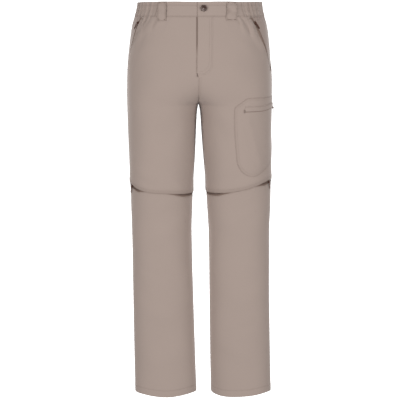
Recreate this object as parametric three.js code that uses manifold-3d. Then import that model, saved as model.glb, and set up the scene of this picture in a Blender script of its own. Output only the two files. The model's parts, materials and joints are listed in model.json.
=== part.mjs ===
// Convertible zip-off trousers, hollow as when worn, in millimetres.
// X points to the wearer's left, Y to the wearer's back and Z up.
// The origin is the middle of the waistband ring, where the wearer's waist holds the garment.

import * as THREE from 'three';
import { mergeVertices } from 'three/addons/utils/BufferGeometryUtils.js';
import Module from 'manifold-3d';

const wasm = await Module();
wasm.setup();

const { clamp, degToRad, lerp, smoothstep } = THREE.MathUtils;

// Driving heights
const BAND_TOP = 18;
const BAND_FOOT = -18;
const CROTCH = -250;
const KNEE = -489;
const HEM = -1062;

// Cloth
const CLOTH = 1.5;
const BAND_CLOTH = 2.6;
const BAND_PROUD = 0.9;
const SEAM_GAP = 0.3;

// Elastic gathers at the two sides of the waist
const GATHER_PITCH = 14.5;
const GATHER_HEIGHT = 1.5;
const GATHER_REACH = 8 * GATHER_PITCH;
const GATHER_FADE = 46;

// Fly, fastened wearer's left over right
const FLY_EDGE = -5.5;
const FLY_WIDTH = 40;
const FLY_FOOT = -166;
const FLY_CLOTH = 1.1;
const FLY_CURVE = 26;

// Belt loops
const LOOP_FOOT = -28.5;
const LOOP_CLOTH = 1.6;
const LOOP_STAND = 2.4;

// Slanted hand pockets
const MOUTH_FOOT = -160;
const MOUTH_CLOSE = 9;
const FACING_DEPTH = 2.3;
const FACING_UNDERLAP = 9;
const FACING_DIP = 1.1;
const FACING_FOOT_DIP = 2;
const POCKET_ZIP_WIDTH = 7;

// Knee zips
const FLARE_HEIGHT = 45;
const COIL_RISE = 0.9;
const TAPE_ABOVE = 13;
const TAPE_BELOW = 5;

// Sliders and their pull tabs
const SLIDER_LENGTH = 8.5;
const SLIDER_WIDTH = 6.4;
const SLIDER_HEIGHT = 1.8;
const LUG_WIDTH = 1;
const LUG_LENGTH = 2.4;
const LUG_HEIGHT = 1.8;
const TAB_LENGTH = 19;
const TAB_WIDTH = 4.4;
const TAB_THICKNESS = 1;
const TAB_ROOT_WIDTH = 2.2;
const TAB_ROOT_ABOVE = 0.55;
const TAB_ROOT_BELOW = 2.8;
const PLAY = 0.3;

// Finishes
const SHELL = new THREE.Color(0xa8998e);
const SHELL_DARK = new THREE.Color(0x9a8b80);
const ZIP_TAPE = new THREE.Color(0x6a5a4e);
const METAL = new THREE.Color(0x4a3226);

// Half a section at each height: its reach outward on the wearer's left and right and inward,
// to the front and to the back, and how square its curve is. Above the crotch the inward reach
// is negative, and the centre plane cuts the curve.
const SECTIONS = [
  { height: 18, left: 163.6, right: 163.6, inner: -163.6, front: 116, back: 118, square: 2.35 },
  { height: 0, left: 166.4, right: 166.4, inner: -166.4, front: 118, back: 121, square: 2.35 },
  { height: -18, left: 171.6, right: 171.6, inner: -171.6, front: 120, back: 125, square: 2.35 },
  { height: -40, left: 179.2, right: 179.2, inner: -179.2, front: 122, back: 131, square: 2.35 },
  { height: -60, left: 183, right: 183, inner: -183, front: 123.5, back: 136, square: 2.35 },
  { height: -100, left: 188, right: 188, inner: -188, front: 125, back: 144, square: 2.38 },
  { height: -130, left: 190.8, right: 190.8, inner: -184, front: 125, back: 147.5, square: 2.4 },
  { height: -160, left: 194.6, right: 192.6, inner: -148, front: 123, back: 148, square: 2.42 },
  { height: -190, left: 197, right: 193.4, inner: -88, front: 118.5, back: 145.5, square: 2.42 },
  { height: -220, left: 197.6, right: 193.4, inner: -40, front: 111.5, back: 140, square: 2.4 },
  { height: -238, left: 196.8, right: 193, inner: -14, front: 106, back: 135.5, square: 2.37 },
  { height: -250, left: 196, right: 192.8, inner: 0, front: 103, back: 131.5, square: 2.35 },
  { height: -275, left: 195.2, right: 192.3, inner: 4.9, front: 99, back: 123, square: 2.3 },
  { height: -317, left: 195.2, right: 191.3, inner: 7.4, front: 94, back: 111, square: 2.25 },
  { height: -361, left: 195.8, right: 191, inner: 9.9, front: 90, back: 102, square: 2.22 },
  { height: -405, left: 196.4, right: 190.4, inner: 12.7, front: 86, back: 94.5, square: 2.2 },
  { height: -449, left: 195.4, right: 189, inner: 16.2, front: 81.5, back: 87.5, square: 2.2 },
  { height: -493, left: 194.8, right: 188.4, inner: 19, front: 77, back: 81, square: 2.2 },
  { height: -538, left: 193.4, right: 188.2, inner: 21.1, front: 72, back: 76, square: 2.2 },
  { height: -605, left: 190.6, right: 187.8, inner: 23.8, front: 67, back: 71, square: 2.2 },
  { height: -673, left: 190, right: 188.2, inner: 23.9, front: 63.5, back: 68, square: 2.2 },
  { height: -764, left: 188.8, right: 189.3, inner: 23.3, front: 60, back: 65, square: 2.18 },
  { height: -857, left: 189, right: 190.5, inner: 22.5, front: 57.5, back: 61.5, square: 2.16 },
  { height: -950, left: 189.2, right: 191.6, inner: 21.7, front: 56, back: 58.5, square: 2.12 },
  { height: -1062, left: 189.4, right: 193.2, inner: 21, front: 55.5, back: 56.5, square: 2.06 },
];

// How far the garment's centre line leans to the wearer's left at each height
const CENTRE_LINE = [
  { height: 18, lean: 0 },
  { height: -60, lean: 0 },
  { height: -130, lean: -0.8 },
  { height: -190, lean: -1.8 },
  { height: -250, lean: -2.8 },
  { height: -317, lean: -2.4 },
  { height: -405, lean: -1 },
  { height: -493, lean: 0 },
  { height: -605, lean: 1.7 },
  { height: -764, lean: 4.7 },
  { height: -950, lean: 8.7 },
  { height: -1062, lean: 11.7 },
];

// How far the front of a hem rises at each share of the way from the outseam to the inseam
const HEM_LINE = [
  { share: 0, rise: 0 },
  { share: 0.14, rise: 2.6 },
  { share: 0.5, rise: -2.4 },
  { share: 0.86, rise: 2.6 },
  { share: 1, rise: 0 },
];

// Height of the knee flap's edge at each share of the way from the outseam to the inseam
const KNEE_LINES = {
  right: [
    { share: 0, height: -463 },
    { share: 0.12, height: -465 },
    { share: 0.28, height: -478 },
    { share: 0.42, height: -484 },
    { share: 0.6, height: -486 },
    { share: 0.8, height: -489 },
    { share: 1, height: -492 },
  ],
  left: [
    { share: 0, height: -456 },
    { share: 0.12, height: -453.5 },
    { share: 0.22, height: -457 },
    { share: 0.32, height: -465 },
    { share: 0.45, height: -475 },
    { share: 0.62, height: -483 },
    { share: 0.8, height: -486.5 },
    { share: 1, height: -488.5 },
  ],
};

// How far the knee flap stands off the leg, and how far it hides the middle of the zip
const KNEE_COVER = [
  { share: 0, stand: 2.5, cover: -4.5 },
  { share: 0.2, stand: 2.5, cover: -4.5 },
  { share: 0.36, stand: 3, cover: 6 },
  { share: 0.5, stand: 3, cover: 7 },
  { share: 0.62, stand: 2.9, cover: 3 },
  { share: 0.76, stand: 2.6, cover: -3 },
  { share: 1, stand: 2.5, cover: -3 },
];

// Pocket mouths: distance from the side seam at the waistband and at the foot, and how far
// the mouth gapes
const MOUTHS = {
  right: { top: 74, foot: 24, gape: 1.5 },
  left: { top: 101, foot: 34, gape: 9 },
};

// Belt loops: distance along the waist from the centre front, and width
const LOOPS = [
  { name: 'belt_loop_front_right', from: 'front', place: -98, width: 24 },
  { name: 'belt_loop_front_left', from: 'front', place: 83, width: 27 },
  { name: 'belt_loop_back_right', from: 'back', place: -92, width: 24 },
  { name: 'belt_loop_back_left', from: 'back', place: 92, width: 24 },
  { name: 'belt_loop_centre_back', from: 'back', place: 0, width: 24 },
];

// Cargo pocket on the wearer's left thigh: its edge, as distance from the outseam towards
// the back and height
const CARGO_OUTLINE = [
  { across: -137, height: -227, round: 6 },
  { across: 42, height: -227, round: 8 },
  { across: 42, height: -366, round: 40 },
  { across: -103, height: -447, round: 26 },
  { across: -145, height: -417, round: 25 },
  { across: -166, height: -253, round: 6 },
];
const CARGO_ZIP = { from: -137, to: 28, height: -262, width: 6 };
const CARGO_SEAT = 1.45;
const CARGO_STAND = 1.4;
const CARGO_COLUMNS = 20;

// Main creases of the cloth: the panel, both ends as distance from its side seam and height,
// the width of the crease and its height above the cloth
const CREASES = [
  { side: 'right', face: 'front', a: [118, -20], b: [70, -78], width: 13, height: 2.2 },
  { side: 'right', face: 'front', a: [150, -20], b: [112, -52], width: 12, height: 1.6 },
  { side: 'right', face: 'front', a: [128, -92], b: [60, -120], width: 18, height: 1.6 },
  { side: 'right', face: 'front', a: [188, -262], b: [104, -312], width: 24, height: 2 },
  { side: 'right', face: 'front', a: [196, -300], b: [140, -372], width: 22, height: -1.6 },
  { side: 'right', face: 'front', a: [20, -420], b: [150, -452], width: 22, height: 2.4 },
  { side: 'right', face: 'front', a: [195, -560], b: [90, -622], width: 22, height: 2 },
  { side: 'right', face: 'front', a: [30, -800], b: [160, -842], width: 26, height: 2.2 },
  { side: 'right', face: 'front', a: [180, -930], b: [60, -968], width: 24, height: 1.6 },
  { side: 'left', face: 'front', a: [136, -20], b: [128, -60], width: 11, height: 2.4 },
  { side: 'left', face: 'front', a: [112, -22], b: [104, -72], width: 12, height: 2.2 },
  { side: 'left', face: 'front', a: [150, -80], b: [96, -116], width: 18, height: 1.8 },
  { side: 'left', face: 'front', a: [200, -266], b: [160, -306], width: 22, height: 1.8 },
  { side: 'left', face: 'front', a: [198, -304], b: [158, -366], width: 22, height: -1.6 },
  { side: 'left', face: 'front', a: [170, -560], b: [60, -610], width: 24, height: 2 },
  { side: 'left', face: 'front', a: [40, -760], b: [150, -796], width: 26, height: 2 },
  { side: 'left', face: 'front', a: [185, -905], b: [70, -952], width: 24, height: 1.8 },
  { side: 'right', face: 'back', a: [240, -205], b: [110, -262], width: 22, height: 3 },
  { side: 'right', face: 'back', a: [240, -232], b: [120, -318], width: 20, height: -2.2 },
  { side: 'right', face: 'back', a: [30, -505], b: [180, -548], width: 22, height: 2.8 },
  { side: 'right', face: 'back', a: [190, -640], b: [50, -700], width: 26, height: 2.2 },
  { side: 'left', face: 'back', a: [240, -208], b: [120, -270], width: 22, height: 3 },
  { side: 'left', face: 'back', a: [240, -236], b: [112, -324], width: 20, height: -2.2 },
  { side: 'left', face: 'back', a: [40, -512], b: [190, -560], width: 22, height: 2.8 },
  { side: 'left', face: 'back', a: [180, -660], b: [60, -712], width: 26, height: 2.2 },
];

const SIDE_SIGN = { right: -1, left: 1 };
const FACE_SIGN = { front: -1, back: 1 };
const FACES = ['front', 'back'];
const SIDES = ['right', 'left'];
const PANEL_COLUMNS = 12;
const HIP_COLUMNS = 20;
const CURVE_STEPS = 72;

// Value of a table's column at a key, on a smooth curve that never overshoots its rows
function column(table, keyName, valueName, key) {
  const rising = table[0][keyName] < table[table.length - 1][keyName];
  const rows = rising ? table : [...table].reverse();
  const last = rows.length - 1;
  const at = clamp(key, rows[0][keyName], rows[last][keyName]);
  let i = 0;
  while (i < last - 1 && at > rows[i + 1][keyName]) {
    i += 1;
  }
  const slope = (n) => {
    const wide = rows[n + 1][keyName] - rows[n][keyName];
    return (rows[n + 1][valueName] - rows[n][valueName]) / wide;
  };
  const tangent = (n) => {
    if (n === 0 || n === last) {
      return slope(n === 0 ? 0 : last - 1);
    }
    const before = slope(n - 1);
    const after = slope(n);
    return before * after <= 0 ? 0 : (2 * before * after) / (before + after);
  };
  const span = rows[i + 1][keyName] - rows[i][keyName];
  const t = (at - rows[i][keyName]) / span;
  const from = rows[i][valueName];
  const to = rows[i + 1][valueName];
  const bend = t * t * (3 - 2 * t);
  const start = t * (1 - t) * (1 - t) * span * tangent(i);
  const end = t * t * (t - 1) * span * tangent(i + 1);
  return from + (to - from) * bend + start + end;
}

const sectionCache = new Map();

function section(side, height) {
  const key = `${side}${Math.round(height * 100)}`;
  if (!sectionCache.has(key)) {
    const read = (name) => column(SECTIONS, 'height', name, height);
    const outer = read(side);
    const inner = read('inner');
    sectionCache.set(key, {
      middle: (outer + inner) / 2,
      half: (outer - inner) / 2,
      front: read('front'),
      back: read('back'),
      square: read('square'),
    });
  }
  return sectionCache.get(key);
}

function centreLine(height) {
  return column(CENTRE_LINE, 'height', 'lean', height);
}

const curveCache = new Map();

// One panel's half section from the side seam to the centre plane or the inseam
function curve(side, face, height) {
  const key = `${side}${face}${Math.round(height * 100)}`;
  if (curveCache.has(key)) {
    return curveCache.get(key);
  }
  const { middle, half, front, back, square } = section(side, height);
  const depth = face === 'front' ? front : back;
  const power = 2 / square;
  const cut = (SEAM_GAP / 2 - middle) / half;
  const end = cut <= -1 ? Math.PI : Math.acos(Math.sign(cut) * Math.abs(cut) ** (1 / power));
  const trace = (turnEnd) => {
    const points = [];
    let along = 0;
    for (let i = 0; i <= CURVE_STEPS; i += 1) {
      const turn = (turnEnd * i) / CURVE_STEPS;
      const cos = Math.cos(turn);
      const x = middle + half * Math.sign(cos) * Math.abs(cos) ** power;
      const y = FACE_SIGN[face] * depth * Math.abs(Math.sin(turn)) ** power;
      if (i > 0) {
        along += Math.hypot(x - points[i - 1].x, y - points[i - 1].y);
      }
      points.push({ x, y, along });
    }
    return points;
  };
  const points = trace(end);
  const trim = cut <= -1 ? SEAM_GAP / 2 : 0;
  const whole = trace(Math.PI)[CURVE_STEPS].along;
  const result = { points, length: points[CURVE_STEPS].along - trim, whole };
  curveCache.set(key, result);
  return result;
}

function panelLength(side, face, height) {
  return curve(side, face, height).length;
}

function curvePoint(side, face, height, distance) {
  const { points, length } = curve(side, face, height);
  const at = clamp(distance, SEAM_GAP / 2, length);
  let low = 0;
  let high = points.length - 1;
  while (high - low > 1) {
    const mid = (low + high) >> 1;
    if (points[mid].along > at) {
      high = mid;
    } else {
      low = mid;
    }
  }
  const t = (at - points[low].along) / (points[high].along - points[low].along);
  return {
    x: lerp(points[low].x, points[high].x, t),
    y: lerp(points[low].y, points[high].y, t),
  };
}

// Zero on the trousers' surface and positive outside it
function outside(side, x, y, z) {
  const { middle, half, front, back, square } = section(side, z);
  const across = (SIDE_SIGN[side] * (x - centreLine(z)) - middle) / half;
  const deep = y / (y < 0 ? front : back);
  return Math.abs(across) ** square + Math.abs(deep) ** square - 1;
}

function outwardNormal(side, point) {
  const step = 0.5;
  const level = clamp(point.z, HEM + step, BAND_TOP - step);
  const [low, high] = [level - step, level + step];
  const { x, y, z } = point;
  const dx = outside(side, x + step, y, z) - outside(side, x - step, y, z);
  const dy = outside(side, x, y + step, z) - outside(side, x, y - step, z);
  const dz = outside(side, x, y, high) - outside(side, x, y, low);
  return new THREE.Vector3(dx / (2 * step), dy / (2 * step), dz / (high - low)).normalize();
}

// The waist's gathers, which fade below the band and are pressed flat along a pocket's zip
function gather(side, face, distance, height) {
  const fadeAcross = 1 - smoothstep(distance, GATHER_REACH - GATHER_PITCH, GATHER_REACH);
  const fadeDown = 1 - smoothstep(BAND_FOOT - height, 0, GATHER_FADE);
  const wave = Math.cos((2 * Math.PI * distance) / GATHER_PITCH);
  const alongZip = face === 'front' && height < BAND_FOOT;
  const away = Math.abs(distance - mouthEdge(side, height).line + POCKET_ZIP_WIDTH / 2);
  const flat = alongZip ? smoothstep(away, POCKET_ZIP_WIDTH, POCKET_ZIP_WIDTH + 10) : 1;
  return GATHER_HEIGHT * wave * fadeAcross * fadeDown * flat;
}

function creaseLift(side, face, distance, height) {
  let lift = 0;
  for (const crease of CREASES) {
    if (crease.side !== side || crease.face !== face) {
      continue;
    }
    const [ax, az] = crease.a;
    const [bx, bz] = crease.b;
    const along = (distance - ax) * (bx - ax) + (height - az) * (bz - az);
    const t = clamp(along / ((bx - ax) ** 2 + (bz - az) ** 2), 0, 1);
    const away = Math.hypot(distance - lerp(ax, bx, t), height - lerp(az, bz, t));
    const ends = Math.sin(Math.PI * lerp(0.12, 0.88, t));
    lift += crease.height * ends * Math.exp(-((away / crease.width) ** 2));
  }
  return lift;
}

// A place on the cloth: `distance` is measured from the side seam along the section, and
// `lift` outward from the cloth's outer side
function onCloth(side, face, distance, height, lift = 0) {
  const { x, y } = curvePoint(side, face, height, distance);
  const base = new THREE.Vector3(SIDE_SIGN[side] * x + centreLine(height), y, height);
  const seamFade = smoothstep(panelLength(side, face, height) - distance, 0, 25);
  const sideFade = smoothstep(distance, 0, 20);
  const crease = creaseLift(side, face, distance, height) * seamFade * sideFade;
  const rise = crease + gather(side, face, distance, height) + lift;
  return base.addScaledVector(outwardNormal(side, base), rise);
}

// A closed wall from rows of places, each with its key along the row, its outer point and
// its inner point. Rows may differ in length; rings have rows that close on themselves.
function wall(rows, ring = false) {
  const positions = [];
  const grid = rows.map((row) => row.map((place) => {
    positions.push(...place.outer.toArray(), ...place.inner.toArray());
    return { key: place.key, outer: positions.length / 3 - 2, inner: positions.length / 3 - 1 };
  }));
  const faces = [];
  const strip = (a, b, c) => {
    faces.push(a.outer, b.outer, c.outer);
    faces.push(c.inner, b.inner, a.inner);
  };
  const rim = (a, b) => {
    faces.push(a.outer, b.outer, b.inner);
    faces.push(a.outer, b.inner, a.inner);
  };
  const closed = (row) => (ring ? [...row, { ...row[0], key: 1 }] : row);
  for (let r = 0; r + 1 < grid.length; r += 1) {
    const upper = closed(grid[r]);
    const lower = closed(grid[r + 1]);
    let i = 0;
    let j = 0;
    while (i + 1 < upper.length || j + 1 < lower.length) {
      const upperNext = i + 1 < upper.length ? upper[i + 1].key : Infinity;
      const lowerNext = j + 1 < lower.length ? lower[j + 1].key : Infinity;
      if (upperNext < lowerNext || (upperNext === lowerNext && i <= j)) {
        strip(upper[i], lower[j], upper[i + 1]);
        i += 1;
      } else {
        strip(upper[i], lower[j], lower[j + 1]);
        j += 1;
      }
    }
    if (!ring) {
      rim(grid[r + 1][0], grid[r][0]);
      rim(grid[r][grid[r].length - 1], grid[r + 1][grid[r + 1].length - 1]);
    }
  }
  const top = closed(grid[0]);
  const foot = closed(grid[grid.length - 1]);
  for (let i = 0; i + 1 < top.length; i += 1) {
    rim(top[i], top[i + 1]);
  }
  for (let i = 0; i + 1 < foot.length; i += 1) {
    rim(foot[i + 1], foot[i]);
  }
  return outwardGeometry(positions, faces);
}

function outwardGeometry(positions, faces) {
  const corner = (n) => new THREE.Vector3().fromArray(positions, 3 * n);
  let volume = 0;
  for (let i = 0; i < faces.length; i += 3) {
    const [a, b, c] = [corner(faces[i]), corner(faces[i + 1]), corner(faces[i + 2])];
    volume += a.dot(b.cross(c));
  }
  if (volume < 0) {
    faces.reverse();
  }
  const geometry = new THREE.BufferGeometry();
  geometry.setAttribute('position', new THREE.Float32BufferAttribute(positions, 3));
  geometry.setIndex(faces);
  geometry.computeVertexNormals();
  return geometry;
}

function evenKeys(count) {
  return Array.from({ length: count + 1 }, (_, i) => i / count);
}

function range(from, to, count) {
  return evenKeys(count).map((t) => lerp(from, to, t));
}

const garment = new THREE.Group();

function addPiece(name, geometry, color, roughness = 0.9, metalness = 0, parent = garment) {
  const material = new THREE.MeshStandardMaterial({ color, roughness, metalness });
  const mesh = new THREE.Mesh(geometry, material);
  mesh.name = name;
  parent.add(mesh);
  return mesh;
}

function kneeLine(side, share) {
  return column(KNEE_LINES[side], 'share', 'height', share);
}

function kneeCover(share) {
  return column(KNEE_COVER, 'share', 'cover', share);
}

function kneeStand(share) {
  return column(KNEE_COVER, 'share', 'stand', share);
}

// Distance from the side seam to the front panel's edge, which follows the pocket mouth
function mouthEdge(side, height) {
  const { top, foot, gape } = MOUTHS[side];
  const down = clamp((height - BAND_FOOT) / (MOUTH_FOOT - BAND_FOOT), 0, 1);
  const open = gape * Math.sin(Math.PI * clamp(down / 0.8, 0, 1)) ** 2;
  const close = 1 - smoothstep(MOUTH_FOOT - height, 0, MOUTH_CLOSE);
  return { edge: lerp(top, foot, down) * close + open, open, line: lerp(top, foot, down) };
}

// Keys along a gathered row: quarter waves in the gathers and even steps past them
function gatheredDistances(from, to) {
  const quarter = GATHER_PITCH / 4;
  const first = Math.ceil((from + 1) / quarter);
  const distances = [from];
  for (let n = first; n * quarter < Math.min(GATHER_REACH, to - 1); n += 1) {
    distances.push(n * quarter);
  }
  const start = Math.max(GATHER_REACH, from);
  const steps = Math.max(1, Math.round((to - start) / 24));
  distances.push(...range(start, to, steps).slice(start > from ? 0 : 1));
  return distances;
}

// Distances at whole multiples of a pitch, with both ends added
function evenDistances(from, to, pitch) {
  const distances = [from];
  for (let n = 1; n * pitch < to - 0.3 * pitch; n += 1) {
    if (n * pitch > from + 0.3 * pitch) {
      distances.push(n * pitch);
    }
  }
  return [...distances, to];
}

// Front and back panels from the waistband to the knee flap's edge
const GATHERED_ROWS = [BAND_FOOT - SEAM_GAP, -29, -43];
const MOUTH_END = MOUTH_FOOT - MOUTH_CLOSE;
const HIP_ROWS = [-64, -90, -118, -142, MOUTH_FOOT, MOUTH_END, -190, -212, -230, -242];
const THIGH_ROWS = [CROTCH, -259, -272, -292, -318, -348, -378, -402, -421, -439, -457, -473, KNEE];
const KNEE_BEND_START = -330;

function thighHeight(side, row, share) {
  const bend = smoothstep(KNEE_BEND_START - row, 0, KNEE_BEND_START - KNEE);
  return row + (kneeLine(side, share) - KNEE) * bend;
}

function thighLift(side, share, height) {
  const above = height - kneeLine(side, share);
  return kneeStand(share) * (1 - smoothstep(above, 0, FLARE_HEIGHT));
}

function upperPanel(side, face) {
  const place = (row, distance, key) => {
    const share = distance / panelLength(side, face, row);
    const height = thighHeight(side, row, share);
    const at = share * panelLength(side, face, height);
    const gapeLift = face === 'front' ? mouthLift(side, height, at) : 0;
    const lift = thighLift(side, share, height) + gapeLift;
    return {
      key,
      outer: onCloth(side, face, at, height, lift),
      inner: onCloth(side, face, at, height, lift - CLOTH),
    };
  };
  const start = (row) => (face === 'front' ? Math.max(mouthEdge(side, row).edge, SEAM_GAP / 2)
    : SEAM_GAP / 2);
  const rows = [...GATHERED_ROWS, ...HIP_ROWS, ...THIGH_ROWS].map((row) => {
    const { length, whole } = curve(side, face, row);
    const distances = GATHERED_ROWS.includes(row)
      ? gatheredDistances(start(row), length)
      : evenDistances(start(row), length, whole / (row >= CROTCH ? HIP_COLUMNS : PANEL_COLUMNS));
    return distances.map((distance) => place(row, distance, distance / whole));
  });
  return wall(rows);
}

// The gaping edge of a pocket mouth stands a little off the hip
function mouthLift(side, height, distance) {
  const { edge, open } = mouthEdge(side, height);
  return 0.45 * open * (1 - smoothstep(distance - edge, 0, 30));
}

for (const side of SIDES) {
  for (const face of FACES) {
    addPiece(`${face}_panel_${side}`, upperPanel(side, face), SHELL);
  }
}

// Zip-off lower legs, each a front and a back
const LOWER_TOP = -495;
const LOWER_BEND_END = -620;
const HEM_BEND_START = -950;
const LOWER_ROWS = [
  LOWER_TOP, -503, -520, -545, -576, -610, -650, -698, -748, -800, -850, -900, -950, -1000, -1035, HEM,
];

function lowerTop(side, share) {
  return kneeLine(side, share) + kneeCover(share) - TAPE_BELOW - SEAM_GAP;
}

function lowerPanel(side, face) {
  const rows = LOWER_ROWS.map((row) => {
    const bend = 1 - smoothstep(LOWER_TOP - row, 0, LOWER_TOP - LOWER_BEND_END);
    return evenKeys(PANEL_COLUMNS).map((key) => {
      const hemRise = face === 'front' ? column(HEM_LINE, 'share', 'rise', key) : 0;
      const foot = smoothstep(-row, -HEM_BEND_START, -HEM);
      const height = row + (lowerTop(side, key) - LOWER_TOP) * bend + hemRise * foot;
      const at = lerp(SEAM_GAP / 2, panelLength(side, face, height), key);
      return {
        key,
        outer: onCloth(side, face, at, height),
        inner: onCloth(side, face, at, height, -CLOTH),
      };
    });
  });
  return wall(rows);
}

for (const side of SIDES) {
  for (const face of FACES) {
    addPiece(`lower_leg_${face}_${side}`, lowerPanel(side, face), SHELL);
  }
}

// Knee zips: a ring of tape round each leg with the coil raised along it
const KNEE_ZIP_PROFILE = [
  { above: TAPE_ABOVE, lift: -0.7, thick: 1 },
  { above: 2.4, lift: -0.3, thick: 1.2 },
  { above: 1.2, lift: COIL_RISE, thick: 2.4 },
  { above: -1.2, lift: COIL_RISE, thick: 2.4 },
  { above: -2.4, lift: -0.3, thick: 1.2 },
  { above: -TAPE_BELOW, lift: -0.3, thick: 1 },
];

function kneeZip(side) {
  const round = [
    ...evenKeys(PANEL_COLUMNS).map((share) => ({ face: 'front', share })),
    ...evenKeys(PANEL_COLUMNS).slice(1, -1).reverse().map((share) => ({ face: 'back', share })),
  ];
  const rows = KNEE_ZIP_PROFILE.map(({ above, lift, thick }) => round.map(({ face, share }, n) => {
    const height = kneeLine(side, share) + kneeCover(share) + above;
    const at = share * panelLength(side, face, height);
    return {
      key: n / round.length,
      outer: onCloth(side, face, at, height, lift),
      inner: onCloth(side, face, at, height, lift - thick),
    };
  }));
  return wall(rows, true);
}

for (const side of SIDES) {
  addPiece(`knee_zip_${side}`, kneeZip(side), ZIP_TAPE, 0.6);
}

// A place that may lie past the panel's edge: below zero it is past the side seam, and past
// the panel's length it is on the other side of the centre plane
function around(side, face, distance, height, lift) {
  const length = panelLength(side, face, height);
  if (distance < 0) {
    return onCloth(side, face === 'front' ? 'back' : 'front', -distance, height, lift);
  }
  if (distance > length) {
    const other = side === 'right' ? 'left' : 'right';
    return onCloth(other, face, 2 * length + SEAM_GAP - distance, height, lift);
  }
  return onCloth(side, face, distance, height, lift);
}

// A place at a distance from the centre front or the centre back, positive to the wearer's left
function fromCentre(face, across, height, lift) {
  const side = across < 0 ? 'right' : 'left';
  const distance = panelLength(side, face, height) + SEAM_GAP / 2 - Math.abs(across);
  return around(side, face, distance, height, lift);
}

// Waistband: two plain fronts, two elastic sides and a plain back
const BAND_ROWS = [BAND_TOP, BAND_FOOT];
const ELASTIC_END = GATHER_REACH + 2;

function band(side, face, reach) {
  const rows = BAND_ROWS.map((height) => {
    const distances = reach(panelLength(side, face, height));
    return distances.map((distance, n) => ({
      key: n / (distances.length - 1),
      outer: around(side, face, distance, height, BAND_PROUD),
      inner: around(side, face, distance, height, BAND_PROUD - BAND_CLOTH),
    }));
  });
  return wall(rows);
}

const plainStart = ELASTIC_END + SEAM_GAP;
const bandPieces = {
  waistband_front_right: band('right', 'front', (length) => range(plainStart, length + FLY_EDGE, 6)),
  waistband_front_left: band('left', 'front', (length) => range(plainStart, length - FLY_EDGE, 6)),
  waistband_back: band('right', 'back', (length) => (
    range(plainStart, 2 * length + SEAM_GAP - plainStart, 12)
  )),
};
for (const side of SIDES) {
  const half = gatheredDistances(0, ELASTIC_END).slice(1);
  const distances = [...half.map((d) => -d).reverse(), 0, ...half];
  bandPieces[`waistband_side_${side}`] = band(side, 'back', () => distances);
}
for (const [name, geometry] of Object.entries(bandPieces)) {
  addPiece(name, geometry, SHELL);
}

// Belt loops, sewn to the top of the band and to the panel below it
const LOOP_PROFILE = [
  { height: BAND_TOP, stand: BAND_PROUD + PLAY },
  { height: 12, stand: BAND_PROUD + PLAY },
  { height: 6, stand: BAND_PROUD + LOOP_STAND },
  { height: -9, stand: BAND_PROUD + LOOP_STAND },
  { height: BAND_FOOT, stand: BAND_PROUD + 0.9 },
  { height: -23, stand: 0.4 },
  { height: LOOP_FOOT, stand: 0.4 },
];

function beltLoop({ from, place, width }) {
  const rows = LOOP_PROFILE.map(({ height, stand }) => evenKeys(3).map((key) => {
    const across = place + width * (key - 0.5);
    return {
      key,
      outer: fromCentre(from, across, height, stand + LOOP_CLOTH),
      inner: fromCentre(from, across, height, stand),
    };
  }));
  return wall(rows);
}

for (const loop of LOOPS) {
  addPiece(loop.name, beltLoop(loop), SHELL);
}

// Fly: an outer placket with a curved foot, and the zip behind it
function flyPlacket() {
  const straight = range(BAND_FOOT - SEAM_GAP, FLY_FOOT + FLY_CURVE, 5);
  const curved = [30, 50, 70, 84].map((angle) => (
    FLY_FOOT + FLY_CURVE * (1 - Math.sin(degToRad(angle)))
  ));
  const rows = [...straight, ...curved].map((height) => {
    const down = clamp((FLY_FOOT + FLY_CURVE - height) / FLY_CURVE, 0, 1);
    const width = FLY_WIDTH - FLY_CURVE + FLY_CURVE * Math.sqrt(1 - down * down);
    return evenKeys(4).map((key) => {
      const across = FLY_EDGE + width * key;
      return {
        key,
        outer: fromCentre('front', across, height, FLY_CLOTH + PLAY),
        inner: fromCentre('front', across, height, PLAY),
      };
    });
  });
  return wall(rows);
}

const FLY_ZIP_PROFILE = [
  { across: -9, thick: 1 },
  { across: -3, thick: 1.8 },
  { across: 0.2, thick: 1.8 },
  { across: 3, thick: 1.8 },
  { across: 13, thick: 1 },
];
const FLY_ZIP = { top: BAND_FOOT - 4, foot: FLY_FOOT + 8, behind: -CLOTH - 0.5 };

function flyZip() {
  const rows = range(FLY_ZIP.top, FLY_ZIP.foot, 5).map((height) => (
    FLY_ZIP_PROFILE.map(({ across, thick }, n) => ({
      key: n / (FLY_ZIP_PROFILE.length - 1),
      outer: fromCentre('front', across, height, FLY_ZIP.behind),
      inner: fromCentre('front', across, height, FLY_ZIP.behind - thick),
    }))
  ));
  return wall(rows);
}

addPiece('fly_placket', flyPlacket(), SHELL);
addPiece('fly_zip', flyZip(), ZIP_TAPE, 0.6);

// Shank button at the end of the waistband's left front
const BUTTON = { across: 11, height: 3, radius: 8.5, rim: 1.3, thickness: 3 };

function waistButton() {
  const { radius, rim, thickness } = BUTTON;
  const profile = [
    [0, 0], [radius - 1.2, 0], [radius, 0.9], [radius, thickness - 0.8], [radius - 0.5, thickness],
    [radius - rim, thickness], [radius - rim - 1.3, thickness - 0.9], [2.2, thickness - 0.7],
    [0, thickness - 0.4],
  ].map(([x, y]) => new THREE.Vector2(x, y));
  const lathe = new THREE.LatheGeometry(profile, 20);
  return mergeSolid(lathe);
}

const buttonSeat = fromCentre('front', BUTTON.across, BUTTON.height, BAND_PROUD + PLAY);
const button = addPiece('waist_button', waistButton(), METAL, 0.45, 0.7);
button.position.copy(buttonSeat);
button.quaternion.setFromUnitVectors(
  new THREE.Vector3(0, 1, 0),
  outwardNormal('left', fromCentre('front', BUTTON.across, BUTTON.height, 0)),
);

// Hand pockets: the facing behind each slanted mouth, and a narrow zip along the mouth
const FACING_ROWS = [...GATHERED_ROWS, -64, -90, -118, -136, -150, MOUTH_FOOT, -174];
const FACING_LEVEL = 11;
const FACING_TUCK = { from: -136, to: -156 };

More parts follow.
